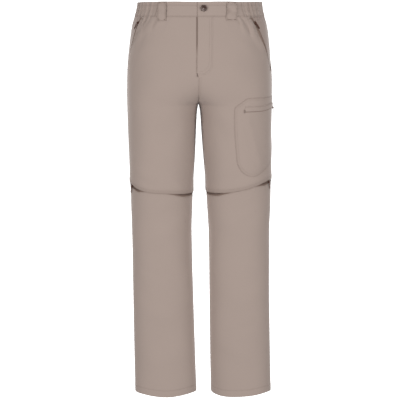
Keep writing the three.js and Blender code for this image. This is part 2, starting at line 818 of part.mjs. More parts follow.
function facingLift(side, height, distance) {
  const { line } = mouthEdge(side, height);
  const rise = 1 - smoothstep(distance, 0, Math.max(line - FACING_LEVEL, 4));
  const tuck = smoothstep(FACING_TUCK.from - height, 0, FACING_TUCK.from - FACING_TUCK.to);
  const dip = FACING_DIP * smoothstep(distance - line, -5, FACING_UNDERLAP - 3);
  const footDip = FACING_FOOT_DIP * smoothstep(MOUTH_FOOT + 12 - height, 0, 12);
  return -FACING_DEPTH * (1 - rise * (1 - tuck)) - dip - footDip;
}

function pocketFacing(side) {
  const rows = FACING_ROWS.map((height) => {
    const { line, open } = mouthEdge(side, height);
    const to = line + open + FACING_UNDERLAP;
    const distances = GATHERED_ROWS.includes(height)
      ? gatheredDistances(SEAM_GAP / 2, to)
      : [...range(SEAM_GAP / 2, line - FACING_LEVEL + 4, 4), line, to];
    return distances.map((distance) => {
      const lift = facingLift(side, height, distance);
      return {
        key: distance / to,
        outer: onCloth(side, 'front', distance, height, lift),
        inner: onCloth(side, 'front', distance, height, lift - CLOTH),
      };
    });
  });
  return wall(rows);
}

const POCKET_ZIP_LIFT = PLAY - FACING_DEPTH;
const POCKET_ZIP_TAPE = 1;

function pocketZip(side) {
  const rows = [-20, -29, -43, -64, -90, -118, -140, MOUTH_FOOT + 4].map((height) => {
    const { line } = mouthEdge(side, height);
    return evenKeys(2).map((key) => {
      const distance = line - 0.6 - POCKET_ZIP_WIDTH * key;
      return {
        key,
        outer: onCloth(side, 'front', distance, height, POCKET_ZIP_LIFT + POCKET_ZIP_TAPE),
        inner: onCloth(side, 'front', distance, height, POCKET_ZIP_LIFT),
      };
    });
  });
  return wall(rows);
}

for (const side of SIDES) {
  addPiece(`pocket_facing_${side}`, pocketFacing(side), SHELL_DARK);
  addPiece(`pocket_zip_${side}`, pocketZip(side), ZIP_TAPE, 0.6);
}

// Cargo pocket: a patch round the outseam of the left thigh, its zip and the zip's welt
function roundedOutline(corners) {
  const outline = [];
  corners.forEach((corner, n) => {
    const before = corners[(n + corners.length - 1) % corners.length];
    const after = corners[(n + 1) % corners.length];
    const at = new THREE.Vector2(corner.across, corner.height);
    const back = new THREE.Vector2(before.across, before.height).sub(at).setLength(corner.round);
    const on = new THREE.Vector2(after.across, after.height).sub(at).setLength(corner.round);
    const bend = new THREE.QuadraticBezierCurve(back.add(at), at, on.add(at));
    outline.push(...bend.getPoints(6));
  });
  return outline;
}

const cargoOutline = roundedOutline(CARGO_OUTLINE);

// First and last place of the pocket at a height, where the outline crosses it
function cargoSpan(height) {
  const crossings = [];
  cargoOutline.forEach((a, n) => {
    const b = cargoOutline[(n + 1) % cargoOutline.length];
    if ((a.y - height) * (b.y - height) <= 0 && a.y !== b.y) {
      crossings.push(lerp(a.x, b.x, (height - a.y) / (b.y - a.y)));
    }
  });
  return [Math.min(...crossings), Math.max(...crossings)];
}

const CARGO_TOP = Math.max(...cargoOutline.map((p) => p.y));
const CARGO_FOOT = Math.min(...cargoOutline.map((p) => p.y));
const CARGO_EDGE = 20;

function cargoLift(across, height) {
  const [from, to] = cargoSpan(clamp(height, CARGO_FOOT + 0.5, CARGO_TOP - 0.5));
  const inwards = Math.min(across - from, to - across, CARGO_TOP - height, height - CARGO_FOOT);
  return CARGO_SEAT + CARGO_STAND * smoothstep(inwards, 0, CARGO_EDGE);
}

function onThigh(across, height, lift) {
  const share = Math.abs(across) / panelLength('left', across < 0 ? 'front' : 'back', height);
  return around('left', 'back', across, height, lift + thighLift('left', share, height));
}

function cargoPatch(heights, span, columns, low, thickness) {
  const rows = heights.map((height) => {
    const [from, to] = span(height);
    return evenKeys(columns).map((key) => {
      const across = lerp(from, to, key);
      const lift = cargoLift(across, height) + low(height);
      return {
        key,
        outer: onThigh(across, height, lift + thickness),
        inner: onThigh(across, height, lift),
      };
    });
  });
  return wall(rows);
}

const CARGO_HEIGHTS = [CARGO_TOP - 0.1, -232, -243, -254, -272, -296, -322, -348, -370, -390, -406,
  -418, -429, CARGO_FOOT + 1];
const onPocket = CLOTH + 0.4;
const CARGO_TAPE = 1;
const WELT = { to: 8, cloth: 1.1 };
const WELT_ROWS = [
  { height: CARGO_ZIP.height + 13, low: onPocket },
  { height: CARGO_ZIP.height + 6, low: onPocket },
  { height: CARGO_ZIP.height + 3.6, low: onPocket + 1.4 },
  { height: CARGO_ZIP.height - 0.5, low: onPocket + 1.5 },
];
const weltLow = (height) => column(WELT_ROWS, 'height', 'low', height);
const zipHeights = [CARGO_ZIP.height + CARGO_ZIP.width / 2, CARGO_ZIP.height - CARGO_ZIP.width / 2];

const zipSpan = () => [CARGO_ZIP.from, CARGO_ZIP.to];
const weltSpan = () => [CARGO_ZIP.from - 2, WELT.to];
const weltHeights = WELT_ROWS.map((row) => row.height);
const trimColumns = 16;
const cargoZip = cargoPatch(zipHeights, zipSpan, trimColumns, () => onPocket, CARGO_TAPE);
const cargoWelt = cargoPatch(weltHeights, weltSpan, trimColumns, weltLow, WELT.cloth);

addPiece('cargo_pocket', cargoPatch(CARGO_HEIGHTS, cargoSpan, CARGO_COLUMNS, () => 0, CLOTH), SHELL);
addPiece('cargo_zip', cargoZip, ZIP_TAPE, 0.6);
addPiece('cargo_welt', cargoWelt, SHELL);

// Zip sliders and pull tabs. A slider stands on its zip, and its tab swings between two lugs.
function mergeSolid(geometry) {
  geometry.deleteAttribute('normal');
  geometry.deleteAttribute('uv');
  const merged = mergeVertices(geometry, 1e-4);
  const index = [];
  for (let i = 0; i < merged.index.count; i += 3) {
    const [a, b, c] = [0, 1, 2].map((n) => merged.index.getX(i + n));
    if (a !== b && b !== c && c !== a) {
      index.push(a, b, c);
    }
  }
  return outwardGeometry([...merged.attributes.position.array], index);
}

function toManifold(geometry) {
  return new wasm.Manifold(new wasm.Mesh({
    numProp: 3,
    vertProperties: new Float32Array(geometry.attributes.position.array),
    triVerts: new Uint32Array(geometry.index.array),
  }));
}

function fuse(pieces) {
  const whole = pieces.map((piece) => toManifold(mergeSolid(piece))).reduce((a, b) => a.add(b));
  const { vertProperties, triVerts } = whole.getMesh();
  return outwardGeometry([...vertProperties], [...triVerts]);
}

// A slider in its own axes: X along the hinge, Y up the zip's face and Z off the cloth
function sliderGeometry(along, across) {
  const [w, h] = [along / 2, across / 2];
  const shape = new THREE.Shape([
    [-w + 1.4, -h], [w - 1.4, -h], [w, -h + 1.6], [w, h - 1.2], [w - 1, h], [-w + 1, h],
    [-w, h - 1.2], [-w, -h + 1.6],
  ].map(([x, y]) => new THREE.Vector2(x, y)));
  const body = new THREE.ExtrudeGeometry(shape, { depth: SLIDER_HEIGHT, bevelEnabled: false });
  const lugPlace = TAB_ROOT_WIDTH / 2 + PLAY + LUG_WIDTH / 2;
  const lugs = [-1, 1].map((sign) => {
    const lug = new THREE.BoxGeometry(LUG_WIDTH, LUG_LENGTH, LUG_HEIGHT + 0.4);
    lug.translate(sign * lugPlace, 0, SLIDER_HEIGHT + LUG_HEIGHT / 2 - 0.2);
    return lug;
  });
  return fuse([body, ...lugs]);
}

function tabGeometry() {
  const [root, wide] = [TAB_ROOT_WIDTH / 2, TAB_WIDTH / 2];
  const shape = new THREE.Shape();
  shape.moveTo(-root, TAB_ROOT_ABOVE);
  shape.lineTo(-root, -TAB_ROOT_BELOW);
  shape.lineTo(-wide, -TAB_ROOT_BELOW - 1.2);
  shape.lineTo(-wide, -TAB_LENGTH + wide);
  shape.absarc(0, -TAB_LENGTH + wide, wide, Math.PI, 2 * Math.PI, false);
  shape.lineTo(wide, -TAB_ROOT_BELOW - 1.2);
  shape.lineTo(root, -TAB_ROOT_BELOW);
  shape.lineTo(root, TAB_ROOT_ABOVE);
  const tab = new THREE.ExtrudeGeometry(shape, {
    depth: TAB_THICKNESS,
    bevelEnabled: false,
    curveSegments: 4,
  });
  tab.translate(0, 0, -TAB_THICKNESS / 2);
  return mergeSolid(tab);
}

// Adds a slider whose foot is at `seat`, with its hinge along `axis`, and the tab that hangs
// from it. The tab hangs straight down unless the cloth behind it slopes outward.
function addPull(name, { seat, normal, axis, along, across }) {
  const hinge = axis.clone().addScaledVector(normal, -axis.dot(normal)).normalize();
  const upFace = normal.clone().cross(hinge);
  const slider = addPiece(`${name}_slider`, sliderGeometry(along, across), METAL, 0.4, 0.8);
  slider.position.copy(seat);
  slider.quaternion.setFromRotationMatrix(new THREE.Matrix4().makeBasis(hinge, upFace, normal));
  const down = new THREE.Vector3(0, 0, -1);
  down.addScaledVector(hinge, -down.dot(hinge)).normalize();
  if (down.dot(normal) < 0) {
    down.addScaledVector(normal, -down.dot(normal)).normalize();
  }
  const up = down.negate();
  const out = hinge.clone().cross(up);
  const tab = addPiece(`${name}_tab`, tabGeometry(), METAL, 0.4, 0.8);
  tab.position.copy(seat).addScaledVector(normal, SLIDER_HEIGHT + LUG_HEIGHT / 2);
  tab.quaternion.setFromRotationMatrix(new THREE.Matrix4().makeBasis(hinge, up, out));
}

// Direction from one place to another
function towards(from, to) {
  return to.clone().sub(from).normalize();
}

const HAND_SLIDER_HEIGHT = -34;
const KNEE_SLIDER_SHARE = 0.15;
const CARGO_SLIDER_ACROSS = 18;

for (const side of SIDES) {
  const zipMiddle = (height, lift) => {
    const distance = mouthEdge(side, height).line - 0.6 - POCKET_ZIP_WIDTH / 2;
    return onCloth(side, 'front', distance, height, lift);
  };
  const top = POCKET_ZIP_LIFT + POCKET_ZIP_TAPE + PLAY;
  const seat = zipMiddle(HAND_SLIDER_HEIGHT, top);
  const normal = outwardNormal(side, zipMiddle(HAND_SLIDER_HEIGHT, 0));
  const [below, above] = [-6, 6].map((step) => zipMiddle(HAND_SLIDER_HEIGHT + step, top));
  const axis = towards(below, above).cross(normal);
  addPull(`hand_pocket_${side}`, { seat, normal, axis, along: SLIDER_WIDTH, across: SLIDER_LENGTH });
}

for (const side of SIDES) {
  const coil = (share, lift) => {
    const height = kneeLine(side, share) + kneeCover(share);
    return onCloth(side, 'front', share * panelLength(side, 'front', height), height, lift);
  };
  const top = COIL_RISE + PLAY;
  const seat = coil(KNEE_SLIDER_SHARE, top);
  const normal = outwardNormal(side, coil(KNEE_SLIDER_SHARE, 0));
  const ends = [coil(KNEE_SLIDER_SHARE - 0.02, top), coil(KNEE_SLIDER_SHARE + 0.02, top)];
  const axis = towards(ends[0], ends[1]).multiplyScalar(SIDE_SIGN[side] * -1);
  addPull(`knee_${side}`, { seat, normal, axis, along: SLIDER_LENGTH, across: SLIDER_WIDTH });
}

{
  const zipTop = (across) => {
    const lift = cargoLift(across, CARGO_ZIP.height) + onPocket + CARGO_TAPE + PLAY;
    return onThigh(across, CARGO_ZIP.height, lift);
  };
  const seat = zipTop(CARGO_SLIDER_ACROSS);
  const normal = outwardNormal('left', onThigh(CARGO_SLIDER_ACROSS, CARGO_ZIP.height, 0));
  const axis = towards(zipTop(CARGO_SLIDER_ACROSS - 6), zipTop(CARGO_SLIDER_ACROSS + 6));
  addPull('cargo', { seat, normal, axis, along: SLIDER_LENGTH, across: SLIDER_WIDTH });
}

export default garment;
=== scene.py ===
"""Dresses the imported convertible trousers: worn cloth, seams, zips, button and a plain studio."""
import json
import logging
import math
from dataclasses import dataclass
from enum import Enum
from typing import Callable, NamedTuple, Sequence

import bpy
import numpy as np
from mathutils import Matrix, Vector
from numpy.linalg import norm


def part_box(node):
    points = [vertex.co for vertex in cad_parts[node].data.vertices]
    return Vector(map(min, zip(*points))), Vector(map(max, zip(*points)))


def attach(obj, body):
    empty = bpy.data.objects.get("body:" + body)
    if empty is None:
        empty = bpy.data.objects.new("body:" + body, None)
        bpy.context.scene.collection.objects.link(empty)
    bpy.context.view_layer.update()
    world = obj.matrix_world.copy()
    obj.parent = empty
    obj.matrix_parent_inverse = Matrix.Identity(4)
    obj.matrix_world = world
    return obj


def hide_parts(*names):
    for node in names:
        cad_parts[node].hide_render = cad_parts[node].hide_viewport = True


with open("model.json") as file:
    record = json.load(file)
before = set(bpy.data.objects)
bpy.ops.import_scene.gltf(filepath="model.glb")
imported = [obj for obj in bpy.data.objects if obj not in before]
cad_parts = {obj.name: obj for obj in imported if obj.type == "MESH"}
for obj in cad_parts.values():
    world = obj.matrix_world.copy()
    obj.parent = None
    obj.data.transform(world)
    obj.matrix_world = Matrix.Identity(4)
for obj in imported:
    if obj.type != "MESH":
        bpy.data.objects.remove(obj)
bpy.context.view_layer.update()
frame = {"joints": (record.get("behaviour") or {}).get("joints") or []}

logging.basicConfig(level=logging.INFO, format="%(message)s")
LOG = logging.getLogger("trousers")

GARMENT = "garment"

# The cloth's tables and driving sizes are in millimetres, and MM turns them into metres
MM = 0.001
BAND_TOP = 18.0
BAND_FOOT = -18.0
CROTCH = -250.0
KNEE = -489.0
HEM = -1062.0

Array = np.ndarray
Values = float | Array
Piece = bpy.types.Object
Material = bpy.types.Material
Step = Callable[[], set]


class Way(Enum):
    """One of two opposite directions, with its sign."""

    @property
    def word(self) -> str:
        """The name as nodes use it."""
        return self.name.lower()

    @property
    def other(self) -> "Way":
        """The opposite direction."""
        return type(self)(-self.value)


class Side(Way):
    """The wearer's side, with the sign of its X."""

    RIGHT = -1
    LEFT = 1


class Face(Way):
    """The front or back of the garment, with the sign of its Y."""

    FRONT = -1
    BACK = 1


class Held(Enum):
    """How a sheet of cloth is held, in the frame's words."""

    HUNG = "hung"
    GATHERED = "gathered"
    STRETCHED = "stretched"
    LAID = "laid"
    FOLDED = "folded"


class Slot(Enum):
    """The record's material slots."""

    SHELL = "shell"
    TAPE = "zip_tape"
    PULL = "pull_metal"
    BUTTON = "button_metal"


class SectionRow(NamedTuple):
    """Half a section: its reach to each side, inward, to the front and back, and its squareness."""

    height: float
    left: float
    right: float
    inner: float
    front: float
    back: float
    square: float


SECTIONS = [SectionRow(*row) for row in (
    (18, 163.6, 163.6, -163.6, 116, 118, 2.35),
    (0, 166.4, 166.4, -166.4, 118, 121, 2.35),
    (-18, 171.6, 171.6, -171.6, 120, 125, 2.35),
    (-40, 179.2, 179.2, -179.2, 122, 131, 2.35),
    (-60, 183, 183, -183, 123.5, 136, 2.35),
    (-100, 188, 188, -188, 125, 144, 2.38),
    (-130, 190.8, 190.8, -184, 125, 147.5, 2.4),
    (-160, 194.6, 192.6, -148, 123, 148, 2.42),
    (-190, 197, 193.4, -88, 118.5, 145.5, 2.42),
    (-220, 197.6, 193.4, -40, 111.5, 140, 2.4),
    (-238, 196.8, 193, -14, 106, 135.5, 2.37),
    (-250, 196, 192.8, 0, 103, 131.5, 2.35),
    (-275, 195.2, 192.3, 4.9, 99, 123, 2.3),
    (-317, 195.2, 191.3, 7.4, 94, 111, 2.25),
    (-361, 195.8, 191, 9.9, 90, 102, 2.22),
    (-405, 196.4, 190.4, 12.7, 86, 94.5, 2.2),
    (-449, 195.4, 189, 16.2, 81.5, 87.5, 2.2),
    (-493, 194.8, 188.4, 19, 77, 81, 2.2),
    (-538, 193.4, 188.2, 21.1, 72, 76, 2.2),
    (-605, 190.6, 187.8, 23.8, 67, 71, 2.2),
    (-673, 190, 188.2, 23.9, 63.5, 68, 2.2),
    (-764, 188.8, 189.3, 23.3, 60, 65, 2.18),
    (-857, 189, 190.5, 22.5, 57.5, 61.5, 2.16),
    (-950, 189.2, 191.6, 21.7, 56, 58.5, 2.12),
    (-1062, 189.4, 193.2, 21, 55.5, 56.5, 2.06),
)]


class Fold(NamedTuple):
    """A soft ridge, or a trough if its height is negative, between two places of one panel."""

    from_seam: float
    from_height: float
    to_seam: float
    to_height: float
    width: float
    height: float


R, L, F, B = Side.RIGHT, Side.LEFT, Face.FRONT, Face.BACK
FOLDS = {
    (R, F): [
        (118, -20, 70, -78, 13, 2.2), (150, -20, 112, -52, 12, 1.6), (128, -92, 60, -120, 18, 1.6),
        (188, -262, 104, -312, 24, 2), (196, -300, 140, -372, 22, -1.6), (20, -420, 150, -452, 22, 2.4),
        (195, -560, 90, -622, 22, 2), (30, -800, 160, -842, 26, 2.2), (180, -930, 60, -968, 24, 1.6),
        (96, -20, 84, -44, 4, -1.3), (88, -50, 62, -66, 5, -1.2), (78, -64, 50, -96, 6, -1),
        (104, -62, 82, -98, 6, -0.9), (128, -24, 121, -58, 5, -1.1), (106, -22, 92, -70, 6, -1.2),
        (168, -24, 160, -44, 6, 0.7), (92, -96, 58, -150, 10, -0.9), (60, -438, 120, -470, 9, -0.9),
        (150, -430, 196, -474, 10, 1), (150, -512, 60, -560, 9, 0.8), (40, -690, 120, -716, 12, -0.7),
    ],
    (L, F): [
        (136, -20, 128, -60, 11, 2.4), (112, -22, 104, -72, 12, 2.2), (150, -80, 96, -116, 18, 1.8),
        (200, -266, 160, -306, 22, 1.8), (198, -304, 158, -366, 22, -1.6), (170, -560, 60, -610, 24, 2),
        (40, -760, 150, -796, 26, 2), (185, -905, 70, -952, 24, 1.8), (128, -16, 124, -46, 4, -1.7),
        (140, -20, 137, -40, 4, -1.4), (122, -44, 112, -70, 5, -1.1), (120, -24, 116, -58, 5, -1.3),
        (146, -22, 138, -54, 5, -1), (98, -30, 86, -86, 6, -1.2), (172, -24, 176, -50, 7, 0.7),
        (110, -430, 180, -470, 10, -0.9), (60, -446, 150, -462, 9, 0.9), (60, -520, 140, -556, 10, 0.8),
        (60, -850, 150, -880, 12, -0.7),
    ],
    (R, B): [
        (240, -205, 110, -262, 22, 3), (240, -232, 120, -318, 20, -2.2), (30, -505, 180, -548, 22, 2.8),
        (190, -640, 50, -700, 26, 2.2), (200, -24, 190, -66, 8, 0.9), (150, -440, 60, -476, 10, 1.2),
        (60, -820, 160, -858, 16, 1.4),
    ],
    (L, B): [
        (240, -208, 120, -270, 22, 3), (240, -236, 112, -324, 20, -2.2), (40, -512, 190, -560, 22, 2.8),
        (180, -660, 60, -712, 26, 2.2), (196, -24, 204, -60, 8, 0.9), (60, -436, 150, -470, 10, 1.2),
        (150, -840, 50, -872, 16, 1.4),
    ],
}


def ease(value: Array, low: Values, high: Values) -> Array:
    """Rises smoothly from 0 at low to 1 at high."""
    t = np.clip((value - low) / (high - low), 0, 1)
    return t * t * (3 - 2 * t)


def alike(*values: Values) -> Sequence[Array]:
    """Numbers and arrays as arrays of one shape."""
    return np.broadcast_arrays(*(np.asarray(value, float) for value in values))


def spread(rows: Array, grid: Array) -> Array:
    """The value of each row, over a grid's columns."""
    return np.broadcast_to(rows[:, None], grid.shape)


class SmoothColumn:
    """A smooth curve through a table's column that never overshoots its rows."""

    def __init__(self, keys: Sequence[float], values: Sequence[float]) -> None:
        """Sorts the rows and works out the slope at each.

        Args:
            keys: The column that is looked up.
            values: The column that is read.
        """
        order = np.argsort(keys)
        self.keys = np.asarray(keys, float)[order]
        self.values = np.asarray(values, float)[order]
        slopes = np.diff(self.values) / np.diff(self.keys)
        before, after = slopes[:-1], slopes[1:]
        total = np.where(before * after > 0, before + after, 1.0)
        middle = np.where(before * after > 0, 2 * before * after / total, 0.0)
        self.tangents = np.concatenate([slopes[:1], middle, slopes[-1:]])

    def __call__(self, key: Values) -> Array:
        """The column's value at each key."""
        at = np.clip(key, self.keys[0], self.keys[-1])
        row = np.clip(np.searchsorted(self.keys, at, "right") - 1, 0, len(self.keys) - 2)
        span = self.keys[row + 1] - self.keys[row]
        t = (at - self.keys[row]) / span
        rise = self.values[row + 1] - self.values[row]
        start = t * (1 - t) ** 2 * span * self.tangents[row]
        end = t * t * (t - 1) * span * self.tangents[row + 1]
        return self.values[row] + rise * t * t * (3 - 2 * t) + start + end


class Mouth(NamedTuple):
    """A hand pocket's mouth: its distance from the side seam at its top and foot, and its gape."""

    top: float
    foot: float
    gape: float


MOUTHS = {R: Mouth(74, 24, 1.5), L: Mouth(101, 34, 9)}
MOUTH_FOOT = -160.0
MOUTH_CLOSE = 9.0
POCKET_ZIP_WIDTH = 7.0


class WornForm:
    """The garment's surface as it is worn, looked up by panel, distance from the side seam and height."""

    STEPS = 400
    SHARES = 161
    GATHER_PITCH = 14.5
    GATHER_HEIGHT = 1.15
    GATHER_REACH = 116.0
    GATHER_FADE = 46.0
    LOWEST = HEM - 4
    HIGHEST = BAND_TOP + 4

    def __init__(self) -> None:
        """Traces every panel's half section at each millimetre of height."""
        keys = [row.height for row in SECTIONS]
        names = ("left", "right", "inner", "front", "back", "square")
        self.columns = {n: SmoothColumn(keys, [getattr(row, n) for row in SECTIONS]) for n in names}
        self.heights = np.arange(self.LOWEST, self.HIGHEST + 0.5)
        self.share = np.linspace(0, 1, self.SHARES)
        self.traced = {(side, face): self._trace(side, face) for side in Side for face in Face}

    def section(self, side: Side, height: Array) -> tuple[Array, Array, Array, Array, Array]:
        """Middle, half width, front depth, back depth and squareness at each height."""
        outer, inner = self.columns[side.word](height), self.columns["inner"](height)
        rest = (self.columns[n](height) for n in ("front", "back", "square"))
        return ((outer + inner) / 2, (outer - inner) / 2, *rest)

    def _trace(self, side: Side, face: Face) -> tuple[Array, Array, Array]:
        """Length of each traced row, and its points at even shares of that length."""
        middle, half, front, back, square = (a[:, None] for a in self.section(side, self.heights))
        depth = front if face is F else back
        power = 2 / square
        cut = np.clip(-middle / half, -1, 1)
        end = np.arccos(np.sign(cut) * np.abs(cut) ** (1 / power))
        turn = end * np.linspace(0, 1, self.STEPS)
        x = middle + half * np.sign(np.cos(turn)) * np.abs(np.cos(turn)) ** power
        y = face.value * depth * np.abs(np.sin(turn)) ** power
        steps = np.hypot(np.diff(x, axis=1), np.diff(y, axis=1))
        along = np.concatenate([np.zeros((len(x), 1)), np.cumsum(steps, axis=1)], axis=1)
        even_x, even_y = (
            np.array([np.interp(self.share * line[-1], line, value) for line, value in zip(along, values)])
            for values in (x, y)
        )
        return along[:, -1], even_x, even_y

    def length(self, side: Side, face: Face, height: Values) -> Array:
        """A panel's width at each height, from its side seam to the centre or the inseam."""
        return np.interp(height, self.heights, self.traced[side, face][0])

    def _point(self, side: Side, face: Face, at: Array, height: Array) -> tuple[Array, Array]:
        """Unmirrored X and Y of places on a panel."""
        _, even_x, even_y = self.traced[side, face]
        row = np.clip(height - self.LOWEST, 0, len(self.heights) - 1.001)
        share = np.clip(at / self.length(side, face, height), 0, 1)
        step = np.clip(share * (self.SHARES - 1), 0, self.SHARES - 1.001)
        i, j = row.astype(int), step.astype(int)
        t, u = row - i, step - j

        def read(table: Array) -> Array:
            """The table's value between its four nearest entries."""
            upper = table[i, j] * (1 - u) + table[i, j + 1] * u
            lower = table[i + 1, j] * (1 - u) + table[i + 1, j + 1] * u
            return upper * (1 - t) + lower * t

        return read(even_x), read(even_y)

    def settle(self, point: Array) -> Array:
        """Lets the band's top edge rise between the hips and wander a little."""
        x, y, z = np.moveaxis(point, -1, 0)
        dip = 1.1 * np.exp(-(((x + 165) / 14) ** 2)) + 0.4 * np.exp(-(((x - 165) / 14) ** 2))
        rise = 2.6 + 0.45 * np.sin(0.05 * x + 0.02 * y + 1) - dip
        point[..., 2] += rise * ease(z, -4, BAND_TOP)
        return point

    def _outside(self, side: Side, x: Array, y: Array, z: Array) -> Array:
        """Zero on the surface and positive outside it."""
        middle, half, front, back, square = self.section(side, z)
        across = np.abs((side.value * (x - LEAN(z)) - middle) / half)
        deep = np.abs(y / np.where(y < 0, front, back))
        return across**square + deep**square - 1

    def normal(self, side: Side, point: Array) -> Array:
        """Outward directions at points of the surface.

        Args:
            side: The side whose half section is meant.
            point: Points as an array that ends in X, Y and Z.

        Returns:
            Unit vectors in the same shape.
        """
        step = 0.5
        x, y, z = np.moveaxis(point, -1, 0)
        level = np.clip(z, HEM + step, BAND_TOP - step)
        low, high = level - step, level + step
        dx = (self._outside(side, x + step, y, z) - self._outside(side, x - step, y, z)) / (2 * step)
        dy = (self._outside(side, x, y + step, z) - self._outside(side, x, y - step, z)) / (2 * step)
        dz = (self._outside(side, x, y, high) - self._outside(side, x, y, low)) / (high - low)
        normal = np.stack([dx, dy, dz], axis=-1)
        return unit(normal)

    @staticmethod
    def mouth(side: Side, height: Values) -> tuple[Values, Values, Values]:
        """A pocket mouth at each height: its closed line, the panel's edge and how far it gapes."""
        mouth = MOUTHS[side]
        down = np.clip((height - BAND_FOOT) / (MOUTH_FOOT - BAND_FOOT), 0, 1)
        gape = mouth.gape * np.sin(np.pi * np.clip(down / 0.8, 0, 1)) ** 2
        close = 1 - ease(MOUTH_FOOT - height, 0, MOUTH_CLOSE)
        line = mouth.top + (mouth.foot - mouth.top) * down
        return line, line * close + gape, gape

    def gather(self, side: Side, face: Face, at: Array, height: Array) -> Array:
        """Lift of the waist's uneven gathers, pressed flat along a pocket's zip."""
        turn = side.value * 1.3 + face.value * 0.8
        phase = at / self.GATHER_PITCH + 0.16 * np.sin(at * 0.043 + turn)
        strength = 0.9 + 0.38 * np.sin(at * 0.071 + 2 * turn)
        fade_across = 1 - ease(at, self.GATHER_REACH - self.GATHER_PITCH, self.GATHER_REACH)
        down = BAND_FOOT - height
        reach = self.GATHER_FADE * (0.85 + 0.4 * np.sin(at * 0.19 + turn))
        fade_down = 1 - ease(down, 0, reach)
        fine = np.cos(4.6 * np.pi * at / self.GATHER_PITCH + turn) * np.exp(-np.maximum(down, 0) / 12)
        wave = np.cos(2 * np.pi * phase) * strength + 0.3 * fine
        if face is F:
            line, _, _ = self.mouth(side, height)
            away = np.abs(at - line + POCKET_ZIP_WIDTH / 2)
            pressed = ease(away, POCKET_ZIP_WIDTH, POCKET_ZIP_WIDTH + 10)
            wave = wave * np.where(height < BAND_FOOT, pressed, 1.0)
        return self.GATHER_HEIGHT * wave * fade_across * fade_down

    def fold(self, side: Side, face: Face, at: Array, height: Array, widest: float = 99.0) -> Array:
        """Lift of the panel's creases up to a width, and of the cloth's slight unevenness."""
        lift = np.zeros(np.broadcast(at, height).shape)
        for fold in (Fold(*row) for row in FOLDS[side, face] if row[4] <= widest):
            run = np.array([fold.to_seam - fold.from_seam, fold.to_height - fold.from_height])
            along = (at - fold.from_seam) * run[0] + (height - fold.from_height) * run[1]
            t = np.clip(along / (run @ run), 0, 1)
            away = np.hypot(at - fold.from_seam - t * run[0], height - fold.from_height - t * run[1])
            ends = np.sin(np.pi * (0.12 + 0.76 * t))
            lift += fold.height * ends * np.exp(-((away / fold.width) ** 2))
        turn = side.value * 2.1 + face.value
        lift += 0.35 * np.sin(at * 0.061 + height * 0.027 + turn)
        lift += 0.3 * np.sin(at * 0.034 - height * 0.043 + 2 * turn)
        return lift

    def shade(self, side: Side, face: Face, at: Array, height: Array) -> Array:
        """Painted shade in the troughs of gathers and small creases, as the seam attribute's strength."""
        low = np.maximum(-self.gather(side, face, at, height) - 0.15, 0) * 0.8
        return low + np.clip(-self.fold(side, face, at, height, 8) - 0.6, 0, 1) * 0.9

    def place(self, side: Side, face: Face, at: Values, height: Values, lift: Values) -> Array:
        """Places on a panel, lifted outward from its outer side.

        Args:
            side: The wearer's side.
            face: Front or back.
            at: Distance from the side seam along the section.
            height: Height of the place.
            lift: Distance outward.

        Returns:
            Points in millimetres, as an array that ends in X, Y and Z.
        """
        at, height, lift = alike(at, height, lift)
        x, y = self._point(side, face, at, height)
        base = np.stack([side.value * x + LEAN(height), y, height], axis=-1)
        fade = ease(self.length(side, face, height) - at, 0, 25) * ease(at, 0, 20)
        rise = self.fold(side, face, at, height) * fade + self.gather(side, face, at, height) + lift
        return self.settle(base + self.normal(side, base) * rise[..., None])

    def around(self, side: Side, face: Face, at: Values, height: Values, lift: Values) -> Array:
        """Places as place gives them, also past the side seam, below zero, or past the centre plane."""
        at, height, lift = alike(at, height, lift)
        length = self.length(side, face, height)
        result = np.empty(at.shape + (3,))
        before, past = at < 0, at > length
        zones = (
            (before, side, face.other, -at),
            (past, side.other, face, 2 * length - at),
            (~before & ~past, side, face, at),
        )
        for zone, of_side, of_face, spot in zones:
            if zone.any():
                result[zone] = self.place(of_side, of_face, spot[zone], height[zone], lift[zone])
        return result

    def from_centre(self, face: Face, across: Values, height: Values, lift: Values) -> Array:
        """Places at distances from the centre front or back, positive to the wearer's left."""
        across, height, lift = alike(across, height, lift)
        result = np.empty(across.shape + (3,))
        for side, zone in ((R, across < 0), (L, across >= 0)):
            if zone.any():
                at = self.length(side, face, height[zone]) - np.abs(across[zone])
                result[zone] = self.around(side, face, at, height[zone], lift[zone])
        return result


LEAN = SmoothColumn(
    [18, -60, -130, -190, -250, -317, -405, -493, -605, -764, -950, -1062],
    [0, 0, -0.8, -1.8, -2.8, -2.4, -1, 0, 1.7, 4.7, 8.7, 11.7],
)
HEM_RISE = {
    R: SmoothColumn([0, 0.14, 0.5, 0.86, 1], [0, 2.4, -2.2, 2.8, 0]),
    L: SmoothColumn([0, 0.16, 0.42, 0.72, 0.9, 1], [1.2, 4.6, 0.6, -2.6, -0.6, 0]),
}
FORM = WornForm()
EDGE_STEPS = np.array([0, 0.15, 0.4, 0.8, 1.3, 2.0, 3.0, 4.4, 5.8, 6.5, 7.2, 8.2, 10.0])
ROLL = 0.7
FLY_EDGE = -5.5


def roll(distance: Array, radius: float = ROLL) -> Array:
    """How far a cloth's outer side turns in towards an edge at that distance."""
    t = 1 - np.clip(distance / radius, 0, 1)
    return -radius * (1 - np.sqrt(1 - t * t))


def between(start: Array, end: Array, middle: int, edges: Array = EDGE_STEPS) -> Array:
    """Places from start to end, close together at both edges.

    Args:
        start: First place of each row.
        end: Last place of each row.
        middle: Number of even steps between the edges.
        edges: Distances from an edge of the places near it.

    Returns:
        One row of places for each entry of start and end.
    """
    start, end = np.atleast_1d(start)[:, None], np.atleast_1d(end)[:, None]
    even = np.linspace(0, 1, middle + 1)[1:-1]
    inside = start + edges[-1] + even * (end - start - 2 * edges[-1])
    return np.concatenate([start + edges, inside, end - edges[::-1]], axis=1)


